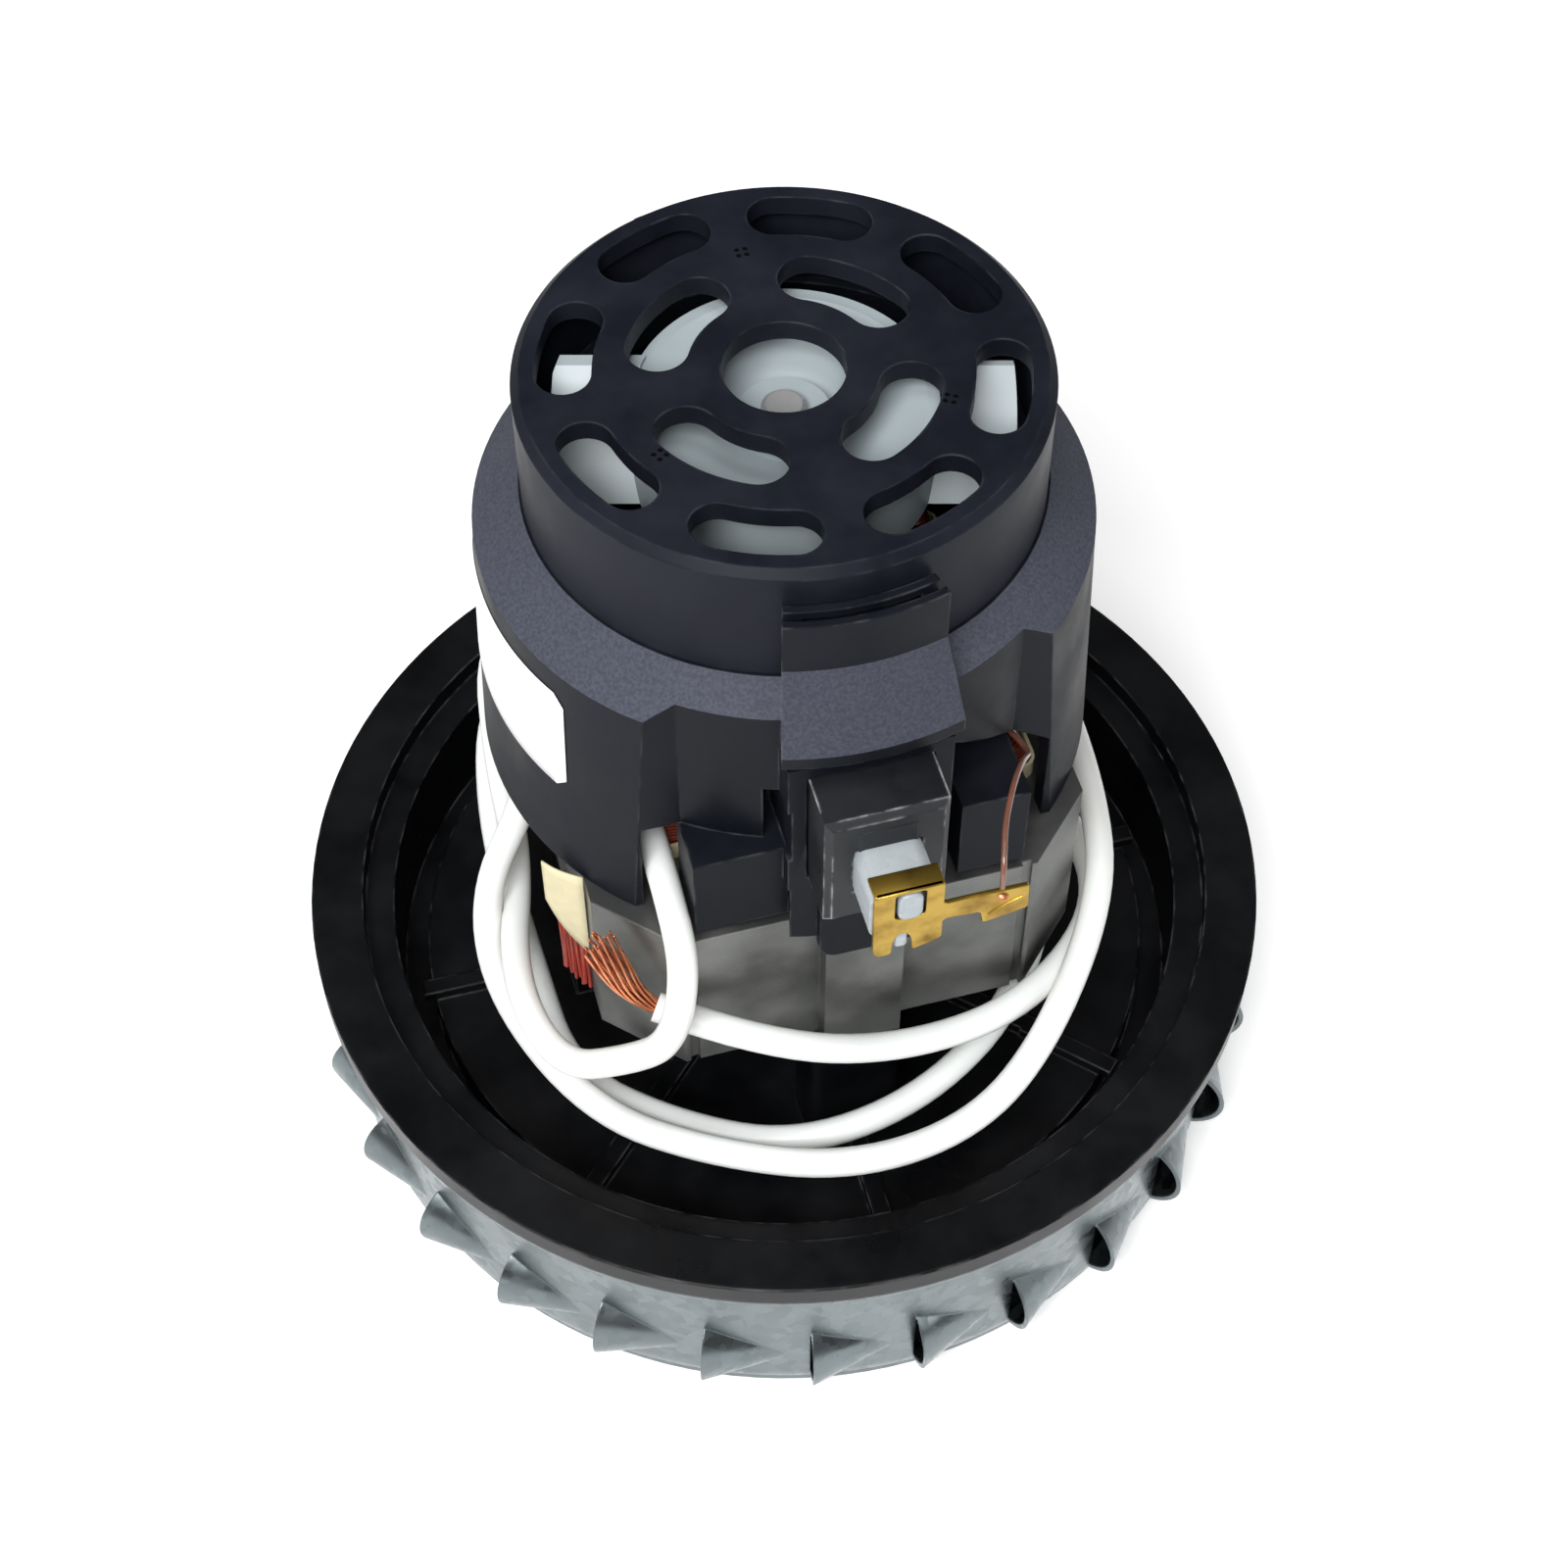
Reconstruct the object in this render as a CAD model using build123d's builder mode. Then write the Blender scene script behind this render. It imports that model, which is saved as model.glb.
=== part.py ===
"""By-pass vacuum motor: louvred steel fan pan, black dish and vented motor head, in millimetres."""
from build123d import *
from math import cos, degrees, pi, radians, sin, tan
import os

os.makedirs("parts", exist_ok=True)

# Clearances and the overrun of every cut
seat_gap = 0.3
slide_gap = 0.2
run_gap = 0.6
overrun = 1.0
frame_turn = 15.5          # degrees from the front of the dish to the front brush

# Steel fan pan with its louvres
pan_radius = 62.5
pan_wall = 0.9
pan_corner = 5.0
pan_step = 1.5
step_radius = 43.0
eye_radius = 19.0
eye_lip = 3.4
eye_seat = 28.0            # hole in the pan that the eye's seal sits in
seat_lip = 0.4
seal_wall = 1.4
seal_flange = 1.0
seal_reach = 3.0           # flange beyond the hole
bead_out = 2.1
bead_height = 1.4
louvre_count = 28
louvre_turn = -86.85       # degrees, mouth of the first louvre
louvre_level = 10.3
louvre_half = 6.2
louvre_proud = 3.9
louvre_run = 12.0
louvre_sink = 0.25         # tail below the face of the band
tail_share = 3.0           # tail radius in wall thicknesses
louvre_wall = 0.7

# Black dish between the pan and the stator
rim_radius = 65.0
rim_top = 33.9
rim_inner = 58.0
rim_flange = 2.0
rim_lip = 3.5
rim_lip_width = 2.0
ledge_inner = 54.0
ledge_drop = 2.9
dish_wall = 1.6
groove_floor = 16.5
groove_inner = 50.3
floor_top = 21.0
floor_thickness = 2.5
floor_rib_count = 8
floor_rib_turn = 15.0      # degrees, the first rib
floor_rib_inner = 38.0
floor_rib_outer = 51.8
floor_rib_width = 2.4
floor_rib_height = 1.6
boss_radius = 17.0
shelf_width = 3.0
collar_gap = 0.6
tower_width = 12.8
tower_depth = 8.0
tower_edge = 35.0
tower_wall = 2.2
side_tower_width = 10.0
side_tower_depth = 5.0

# Bearings, both of one size
bearing_outer = 11.0
bearing_bore = 4.0
bearing_width = 7.0
ring_wall = 2.0
seal_inset = 0.6
lower_bearing_z = 22.0
retainer_thickness = 1.0
retainer_inner = 9.0
retainer_screw_count = 3
screw_radius = 1.5
screw_head = 2.8
screw_head_height = 1.6
screw_head_chamfer = 0.4
screw_slot = 0.5
screw_length = 6.0

# Stator stack, its coils and papers
stack_bottom = 46.3
stack_height = 26.7
stack_half_width = 31.2
stack_half_depth = 34.5
stack_facet = 8.9
stack_rib_half = 5.0
stack_rib_proud = 2.5
seam_width = 1.2
seam_depth = 0.6
bore_radius = 20.0
shoe_thickness = 3.2
shoe_half_angle = 52.0
slot_inner = 14.5
slot_outer = 26.5
slot_half = 22.0
slot_corner = 2.0
coil_inner = 17.7
coil_outer = 25.7
coil_front = 15.7
coil_thickness = 5.6
coil_overhang = 8.4
coil_corner = 7.0
coil_edge = 1.6
paper_thickness = 0.4
paper_overhang = 2.5
paper_back = 18.6
side_paper_front = 26.0
side_paper_back = 11.0
side_paper_point = 18.7
side_paper_low = 54.0
side_paper_high = 72.0
stator_screw_radius = 2.0
stator_screw_head = 3.5
stator_screw_head_height = 3.2
stator_screw_chamfer = 0.53
stator_screw_depth = 14.0

# Motor housing
housing_low_radius = 38.0
housing_radius = 36.45
housing_wall = 2.5
shoulder_low = 108.1
shoulder_top = 113.4
pocket_radius = 34.2
pocket_low = 88.0
pocket_start = 14.5        # degrees either side of the brush axis
pocket_end = 36.0
pocket_flare = 43.5        # degrees, where the slanted end leaves the wall
window_slant = 11.1
upstand_height = 3.6
upstand_wall = 1.2
spoke_count = 4
spoke_turn = 45.0
spoke_width = 6.0
spoke_height = 5.5
hub_wall = 3.5
upper_bearing_z = 104.0
preload_thickness = 0.5
lining_wall = 2.3
window_high = 99.3
window_out = 25.0
window_back = 21.0
pad_half_angle = 16.0
latch_top = 125.4
latch_wall = 3.2
latch_face_low = 118.2
latch_slot = 1.1
latch_slot_depth = 1.6
pad_radius = 38.3
pad_low = 106.6
channel_wall = 2.2
channel_inner = 17.0
foot_half = 6.3
foot_depth = 38.6
foot_low = 69.6
foot_corner = 2.5
lug_thickness = 4.0
lug_inner = 26.5
left_block = (-20.4, -9.0)
right_block = (12.0, 20.4)
block_face = 34.5
block_back = 27.0
block_low = 74.9
block_high = 88.2
block_web = 3.0
peep_slot = (-11.4, -9.2)
peep_low = 88.2
peep_high = 97.4

# Cover over the cooling fan
cover_radius = 30.4
cover_top = 129.9
cover_roof = 2.6
cover_wall = 1.8
cover_edge = 1.0
centre_hole = 7.0
inner_slot_count = 4
inner_slot_turn = 45.0
inner_slot_radius = 14.35
inner_slot_width = 7.1
inner_slot_span = 36.6
outer_slot_count = 8
outer_slot_turn = 22.5
outer_slot_radius = 24.45
outer_slot_width = 6.3
outer_slot_span = 19.5
hook_half_angle = 11.0
hook_proud = 0.9
hook_low = 121.0
hook_high = 124.0

# Brush gear
brush_level = 93.7
brush_wide = 6.4
brush_tall = 6.2
brush_gap = 0.25
brush_length = 21.0
box_wall = 0.6
box_inner_end = 14.6
box_outer_end = 50.0
holder_half = 7.25
holder_low = 84.5
holder_high = 103.0
holder_inner = 16.0
holder_face = 43.5
holder_chamfer = 0.8
holder_recess = 1.2
cap_thickness = 0.6
cap_roof = 3.2
cap_bridge = 3.4
cap_leg_wide = 2.6
cap_leg_drop = 4.2
neck_high = 3.6
neck_end = 8.2
tongue_end = 14.3
tongue_high = 6.0
tongue_middle = 90.0
neck_middle = 90.7
tab_back = 1.0
tab_bend = 94.5
tab_low = 91.0
cap_gap_half = 1.45
spring_radius = 2.6
spring_wire = 0.5
wire_radius = 0.35
FIELD_WIRE = (
    (11.3, 50.3, 93.0), (11.4, 49.8, 97.5), (13.0, 45.0, 98.7), (15.9, 39.5, 98.3), (18.4, 35.5, 96.4),
    (20.8, 32.0, 92.5), (20.6, 26.0, 89.2), (17.9, 18.5, 87.5), (17.7, 18.5, 81.4),
)

# Leads: places across, out along the brush axis, and height, in the motor head's frame
lead_radius = 1.85
strand_radius = 1.2
strand_bend = 2.4
bend_share = 0.45
sample_share = 0.8         # spacing of the measured points in tube radii
SHORT_LEAD = (
    (-22.6, 21.3, 78.6), (-22.6, 33.5, 78.6), (-23.0, 39.8, 73.5), (-25.6, 42.0, 64.0), (-30.0, 38.7, 57.0),
    (-38.4, 35.2, 53.0), (-41.5, 21.0, 53.0), (-36.2, 0.7, 50.0), (-36.0, -14.0, 53.0), (-33.0, -34.5, 54.0),
    (-15.0, -43.5, 55.0), (2.0, -43.0, 55.5), (22.0, -43.5, 55.5), (36.3, -30.0, 54.5), (34.4, -10.0, 51.5),
    (34.6, 8.0, 48.5), (37.5, 25.0, 47.0), (22.0, 39.3, 48.8), (3.9, 42.9, 51.0), (-13.7, 42.4, 58.5),
    (-25.9, 35.1, 61.8),
)
LONG_LEAD = (
    (-16.0, 18.5, 81.4), (-16.0, 18.5, 88.5), (-21.5, 13.5, 94.0), (-29.3, 6.5, 91.5), (-32.8, 2.2, 83.0),
    (-33.8, 1.0, 64.0), (-42.7, 8.5, 55.0), (-42.9, 15.8, 41.0), (-35.0, 34.9, 40.0), (-21.4, 44.6, 39.5),
    (-5.3, 51.2, 39.5), (11.0, 50.4, 41.0), (22.2, 44.8, 48.5), (34.2, 30.0, 55.5), (37.6, 15.0, 57.5),
    (39.8, -8.0, 54.0), (39.6, -26.0, 47.5), (22.0, -43.5, 46.0), (2.0, -42.5, 46.0), (-17.0, -43.0, 46.0),
    (-34.0, -31.0, 46.0), (-38.6, -10.0, 43.5), (-37.4, 9.0, 38.0), (-36.3, 25.2, 34.5), (-24.6, 36.1, 34.0),
    (-10.2, 43.5, 34.0), (7.4, 42.0, 36.0), (22.6, 33.3, 40.0), (33.5, 14.0, 41.5), (34.0, -8.0, 41.0),
    (26.0, -27.0, 40.5),
)

STRAND_ENDS = (
    ((-25.9, 35.1, 61.8), (-28.4, 33.6, 62.5), (-31.7, 29.2, 70.0)),
    ((26.0, -27.0, 40.5), (24.3, -31.1, 40.4), (19.5, -37.5, 40.2)),
)

# Rotor
shaft_radius = bearing_bore
shaft_shoulder = 5.0
shaft_low = 5.2
shaft_top = 124.2
shaft_tip_radius = 2.6
shaft_tip_low = 112.0
shaft_chamfer = 0.5
commutator_radius = 11.0
commutator_low = 84.6
commutator_height = 16.0
commutator_core = 7.0
riser_radius = 12.6
riser_height = 2.4
segment_count = 24
segment_gap = 0.6
segment_gap_depth = 1.1
armature_radius = 19.4
armature_slot_count = 12
armature_slot_inner = 11.6
armature_slot_outer = 18.0
armature_slot_wide = 3.9
armature_mouth = 1.8
winding_radius = 14.4
winding_overhang = 7.6
winding_edge = 2.5
end_board = 1.0
spacer_radius = 5.6
impeller_radius = 52.5
impeller_eye = 21.4
impeller_low = 3.6
impeller_sheet = 0.9
impeller_top = 13.5
blade_count = 7
blade_inner = 23.0
blade_thickness = 0.9
blade_bow_radius = 34.0
blade_lean = 38.0
washer_radius = 12.0
washer_thickness = 1.4
nut_across = 13.0
nut_height = 5.0

# Cooling fan
fan_radius = 26.4
fan_low = 114.2
fan_high = 125.6
fan_hub_radius = 5.4
bowl_radius = 17.5
bowl_depth = 4.6
bowl_wall = 1.4
vane_count = 9
vane_thickness = 1.2
vane_pitch = 47.0
bowl_lip = 0.6
fan_boss_height = 2.4

# Lengths that follow from the sizes above
stack_top = stack_bottom + stack_height
ledge_top = rim_top - ledge_drop
pan_height = rim_top - rim_flange
lip_bottom = rim_top - rim_lip
box_high = brush_level + brush_tall / 2 + brush_gap + box_wall
box_low = brush_level - brush_tall / 2 - brush_gap - box_wall
box_half = brush_wide / 2 + brush_gap + box_wall
SIDES = (("front", 0), ("rear", 180))


def level(height, turn=0):
    """A level plane at a height, turned with the motor head."""
    return Plane.XY.rotated((0, 0, frame_turn + turn)).offset(height)


def upright(distance, turn=0):
    """An upright plane that faces along the brush axis, X across it and Y up."""
    angle = radians(frame_turn + turn)
    out = Vector(sin(angle), -cos(angle), 0)
    return Plane(origin=out * distance, x_dir=Vector(cos(angle), sin(angle), 0), z_dir=out)


def radial(azimuth, offset=0):
    """An upright plane through the axis, X out at an azimuth of the motor head and Y up."""
    angle = radians(frame_turn + azimuth)
    out = Vector(cos(angle), sin(angle), 0)
    facing = Vector(sin(angle), -cos(angle), 0)
    return Plane(origin=facing * offset, x_dir=out, z_dir=facing)


def polar(reach, azimuth):
    """A point in plan at a distance from the axis and an azimuth of the motor head."""
    angle = radians(frame_turn + azimuth)
    return reach * cos(angle), reach * sin(angle)


def save(piece, name):
    """Label a finished piece and write its STEP file."""
    piece.part.label = name
    export_step(piece.part, f"parts/{name}.step")


# Fan pan: one revolved sheet section with a stepped floor, a hole for the seal and a bead under the rim
pan_lining = pan_radius - pan_wall
step_slope = step_radius + pan_wall / 2
with BuildPart() as fan_housing:
    with BuildSketch(Plane.XZ) as pan_section:
        with BuildLine():
            Polyline(
                (eye_seat, pan_step), (step_radius, pan_step), (step_radius + pan_step, 0), (pan_radius, 0),
                (pan_radius, lip_bottom - bead_height), (pan_radius + bead_out, lip_bottom - bead_height),
                (pan_radius + bead_out, lip_bottom), (pan_radius, lip_bottom), (pan_radius, pan_height),
                (pan_lining, pan_height), (pan_lining, pan_wall), (step_slope + pan_step, pan_wall),
                (step_slope, pan_step + pan_wall), (eye_seat + pan_wall, pan_step + pan_wall),
                (eye_seat + pan_wall, pan_step + pan_wall + seat_lip),
                (eye_seat, pan_step + pan_wall + seat_lip), close=True,
            )
        make_face()
        corners = [v for v in vertices() if v.X > step_radius + pan_corner and v.Y < pan_corner]
        fillet([v for v in corners if v.Y == 0], pan_corner)
        fillet([v for v in corners if v.Y > 0], pan_corner - pan_wall)
    revolve(axis=Axis.Z)

# Each louvre is a cone that leans into the wall, hollow, with its mouth square to the band
mouth_radius = (louvre_half**2 + louvre_proud**2) / (2 * louvre_proud)
tail_radius = louvre_wall * tail_share
run_angle = degrees(louvre_run / pan_radius)


def louvre_axis(turn):
    """The cone's plane at its mouth, looking along the run, and its length."""
    depth = pan_radius - mouth_radius + louvre_proud
    start = Vector(depth, 0, louvre_level).rotate(Axis.Z, turn)
    stop = Vector(pan_radius - tail_radius - louvre_sink, 0, louvre_level).rotate(Axis.Z, turn + run_angle)
    return Plane(origin=start, z_dir=stop - start), (stop - start).length


band_core = Cylinder(pan_radius - pan_wall / 2, pan_height, align=(Align.CENTER, Align.CENTER, Align.MIN))
gills, hollows = [], []
for index in range(louvre_count):
    mouth, cone_length = louvre_axis(louvre_turn + index * 360 / louvre_count)
    gill = mouth * Cone(mouth_radius, tail_radius, cone_length, align=(Align.CENTER, Align.CENTER, Align.MIN))
    gills.append(gill - band_core)
    hollow = Cone(
        mouth_radius - louvre_wall, tail_radius - louvre_wall, cone_length,
        align=(Align.CENTER, Align.CENTER, Align.MIN),
    )
    hollows.append(mouth * hollow)
fan_housing.part = fan_housing.part + gills - hollows
save(fan_housing, "fan_housing")

# Seal in the pan's eye: a flange under the floor, a neck in the hole and a lip inside the impeller's eye
with BuildPart() as eye_seal:
    with BuildSketch(Plane.XZ):
        with BuildLine():
            Polyline(
                (eye_radius, pan_step - seal_flange), (eye_seat + seal_reach, pan_step - seal_flange),
                (eye_seat + seal_reach, pan_step), (eye_seat - slide_gap, pan_step),
                (eye_seat - slide_gap, pan_step + pan_wall), (eye_radius + seal_wall, pan_step + pan_wall),
                (eye_radius + seal_wall, pan_step + eye_lip), (eye_radius, pan_step + eye_lip), close=True,
            )
        make_face()
    revolve(axis=Axis.Z)
save(eye_seal, "eye_seal")

# Dish: flat rim with a lip over the bead, ledge, deep wall, groove and ribbed floor, in one section
boss_top = lower_bearing_z + bearing_width
shelf_top = lower_bearing_z
collar_radius = spacer_radius + collar_gap
underside = floor_top - floor_thickness
flange_low = rim_top - rim_flange
ledge_outer = ledge_inner + dish_wall
rim_lining = rim_inner + dish_wall
lip_inner = rim_radius - rim_lip_width
with BuildPart() as base_dish:
    with BuildSketch(Plane.XZ):
        with BuildLine():
            Polyline(
                (collar_radius, underside), (groove_inner - dish_wall, underside),
                (groove_inner - dish_wall, groove_floor - dish_wall),
                (ledge_outer, groove_floor - dish_wall), (ledge_outer, ledge_top - dish_wall),
                (rim_lining, ledge_top - dish_wall), (rim_lining, flange_low), (lip_inner, flange_low),
                (lip_inner, lip_bottom), (rim_radius, lip_bottom), (rim_radius, rim_top),
                (rim_inner, rim_top), (rim_inner, ledge_top), (ledge_inner, ledge_top),
                (ledge_inner, groove_floor), (groove_inner, groove_floor), (groove_inner, floor_top),
                (boss_radius, floor_top), (boss_radius, boss_top), (bearing_outer, boss_top),
                (bearing_outer, shelf_top), (bearing_outer - shelf_width, shelf_top),
                (bearing_outer - shelf_width, floor_top), (collar_radius, floor_top), close=True,
            )
        make_face()
    revolve(axis=Axis.Z)
    # Radial ribs on the floor, their ends reaching over the groove
    rib_middle = (floor_rib_inner + floor_rib_outer) / 2
    with BuildSketch(Plane.XY.offset(floor_top)):
        with PolarLocations(rib_middle, floor_rib_count, floor_rib_turn):
            Rectangle(floor_rib_outer - floor_rib_inner, floor_rib_width)
    extrude(amount=floor_rib_height)
    # Ribs from the bearing boss out to the towers
    with BuildSketch(level(floor_top)):
        with PolarLocations((boss_radius + floor_rib_inner) / 2, 4, 45):
            Rectangle(floor_rib_inner - boss_radius + floor_rib_width, floor_rib_width)
    extrude(amount=floor_rib_height)
    # Towers under the stack, the front and rear pair hollow for the long screws
    tower_middle = tower_edge - tower_depth / 2
    with BuildSketch(level(floor_top)) as tower_outline:
        with Locations((0, -tower_middle), (0, tower_middle)):
            RectangleRounded(tower_width, tower_depth, tower_wall)
        side_tower_middle = stack_half_width - side_tower_depth / 2
        with Locations((side_tower_middle, 0), (-side_tower_middle, 0)):
            Rectangle(side_tower_depth, side_tower_width)
    extrude(amount=stack_bottom - floor_top)
    with Locations(level(stack_bottom)):
        with Locations((0, -tower_middle), (0, tower_middle)):
            Hole(stator_screw_radius, stator_screw_depth)
    # Retainer screw holes in the boss
    retainer_pitch = (bearing_outer + boss_radius) / 2
    with Locations(level(boss_top)):
        with PolarLocations(retainer_pitch, retainer_screw_count):
            Hole(screw_radius, screw_length - retainer_thickness + overrun / 2)
save(base_dish, "base_dish")

# Stator stack: a rectangle with cut corners, ribs front and rear, two poles with curved shoes
with BuildPart() as stator_core:
    with BuildSketch(level(stack_bottom)):
        Rectangle(2 * stack_half_width, 2 * stack_half_depth)
        chamfer(vertices(), stack_facet)
        with Locations((0, -stack_half_depth), (0, stack_half_depth)):
            Rectangle(2 * stack_rib_half, 2 * stack_rib_proud)
        Circle(bore_radius, mode=Mode.SUBTRACT)
        slot_middle = (slot_inner + slot_outer) / 2
        with Locations((-slot_middle, 0), (slot_middle, 0)):
            RectangleRounded(slot_outer - slot_inner, 2 * slot_half, slot_corner, mode=Mode.SUBTRACT)
        with BuildSketch(mode=Mode.ADD):
            Circle(bore_radius + shoe_thickness)
            Circle(bore_radius, mode=Mode.SUBTRACT)
            reach = 2 * stack_half_width
            tip = reach * tan(radians(shoe_half_angle))
            with BuildLine():
                Polyline((0, 0), (tip, -reach), (tip, reach), close=True)
            make_face(mode=Mode.SUBTRACT)
            with BuildLine():
                Polyline((0, 0), (-tip, reach), (-tip, -reach), close=True)
            make_face(mode=Mode.SUBTRACT)
        seam_middle = stack_half_width - stack_facet - seam_width
        seam_places = [(x, side * stack_half_depth) for x in (-seam_middle, seam_middle) for side in (-1, 1)]
        with Locations(*seam_places):
            Rectangle(seam_width, 2 * seam_depth, mode=Mode.SUBTRACT)
        with Locations((0, -tower_middle), (0, tower_middle)):
            Circle(stator_screw_radius + slide_gap, mode=Mode.SUBTRACT)
    extrude(amount=stack_height)
save(stator_core, "stator_core")

# Field coils: a saddle round each pole, its ends bulging above and below the stack
for name, turn in SIDES:
    with BuildPart() as coil:
        with BuildSketch(upright(coil_front, turn)):
            with Locations((0, stack_bottom + stack_height / 2)):
                RectangleRounded(2 * coil_outer, stack_height + 2 * coil_overhang, coil_corner)
                inner_height = stack_height + 2 * paper_overhang + 2 * seat_gap
                Rectangle(2 * coil_inner, inner_height, mode=Mode.SUBTRACT)
        extrude(amount=coil_thickness)
        stack_middle = stack_bottom + stack_height / 2
        turn_back = inner_height / 2 + coil_edge
        outer_edges = edges().filter_by(lambda e: abs(e.center().Z - stack_middle) > turn_back)
        fillet(outer_edges.filter_by(GeomType.LINE), coil_edge)
    save(coil, f"field_coil_{name}")

# Slot papers: a folded liner behind each coil leg, stopping short of the shoe
with BuildPart() as slot_papers:
    with BuildSketch(level(stack_bottom - paper_overhang)):
        with Locations((-slot_middle, 0), (slot_middle, 0)):
            RectangleRounded(slot_outer - slot_inner, 2 * slot_half, slot_corner)
            RectangleRounded(
                slot_outer - slot_inner - 2 * paper_thickness, 2 * slot_half - 2 * paper_thickness,
                slot_corner - paper_thickness, mode=Mode.SUBTRACT,
            )
        Rectangle(2 * slot_middle, 2 * paper_back, mode=Mode.SUBTRACT)
        Rectangle(2 * slot_outer + overrun, coil_front, mode=Mode.SUBTRACT)
    extrude(amount=stack_height + 2 * paper_overhang)
save(slot_papers, "slot_papers")

# Side paper: a strip with a pointed end that hangs over the side of the stack
with BuildPart() as side_paper:
    with BuildSketch(radial(-90, stack_half_width)):
        with BuildLine():
            Polyline(
                (side_paper_back, side_paper_high), (side_paper_front, side_paper_high),
                (side_paper_front, side_paper_low + side_paper_front - side_paper_point),
                (side_paper_point, side_paper_low),
                (side_paper_back, side_paper_low + side_paper_point - side_paper_back), close=True,
            )
        make_face()
    extrude(amount=paper_thickness)
save(side_paper, "side_paper")

# Retainer plate over the lower bearing and its three screws
with BuildPart() as bearing_retainer:
    with BuildSketch(level(boss_top)):
        Circle(boss_radius)
        Circle(retainer_inner, mode=Mode.SUBTRACT)
        with PolarLocations(retainer_pitch, retainer_screw_count):
            Circle(screw_radius, mode=Mode.SUBTRACT)
    extrude(amount=retainer_thickness)
save(bearing_retainer, "bearing_retainer")

retainer_top = boss_top + retainer_thickness
with BuildPart() as retainer_screws:
    with BuildSketch(level(retainer_top)):
        with PolarLocations(retainer_pitch, retainer_screw_count):
            Circle(screw_radius)
    extrude(amount=-screw_length)
    with BuildSketch(level(retainer_top)):
        with PolarLocations(retainer_pitch, retainer_screw_count):
            Circle(screw_head)
    extrude(amount=screw_head_height)
    chamfer(faces().sort_by(Axis.Z)[-retainer_screw_count:].edges(), screw_head_chamfer)
    with BuildSketch(level(retainer_top + screw_head_height)):
        with PolarLocations(retainer_pitch, retainer_screw_count):
            Rectangle(screw_radius * 2, screw_slot)
            Rectangle(screw_slot, screw_radius * 2)
    extrude(amount=-screw_head_height / 2, mode=Mode.SUBTRACT)
save(retainer_screws, "retainer_screws")

# Ball bearings: the outer rings carry the seals, the inner rings turn with the shaft
inner_ring = bearing_bore + ring_wall
seal_bore = inner_ring + slide_gap
bearing_floors = (lower_bearing_z, upper_bearing_z)
with BuildPart() as bearing_outer_rings:
    for floor_z in bearing_floors:
        seal_low = floor_z + seal_inset
        seal_high = floor_z + bearing_width - seal_inset
        with BuildSketch(Plane.XZ):
            with BuildLine():
                Polyline(
                    (bearing_outer, floor_z), (bearing_outer, floor_z + bearing_width),
                    (bearing_outer - ring_wall, floor_z + bearing_width),
                    (bearing_outer - ring_wall, seal_high),
                    (seal_bore, seal_high), (seal_bore, seal_high - seal_inset),
                    (bearing_outer - ring_wall, seal_high - seal_inset),
                    (bearing_outer - ring_wall, seal_low + seal_inset), (seal_bore, seal_low + seal_inset),
                    (seal_bore, seal_low), (bearing_outer - ring_wall, seal_low),
                    (bearing_outer - ring_wall, floor_z), close=True,
                )
            make_face()
        revolve(axis=Axis.Z)
save(bearing_outer_rings, "bearing_outer_rings")

with BuildPart() as bearing_inner_rings:
    for floor_z in bearing_floors:
        with BuildSketch(Plane.XY.offset(floor_z)):
            Circle(inner_ring)
            Circle(bearing_bore, mode=Mode.SUBTRACT)
        extrude(amount=bearing_width)
save(bearing_inner_rings, "bearing_inner_rings")

# Preload washer under the upper bearing
washer_inner = bearing_outer - shelf_width + seat_gap
with BuildPart() as preload_washer:
    with BuildSketch(Plane.XY.offset(upper_bearing_z - preload_thickness)):
        Circle(bearing_outer - seat_gap)
        Circle(washer_inner, mode=Mode.SUBTRACT)
    extrude(amount=preload_thickness)
save(preload_washer, "preload_washer")

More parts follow.
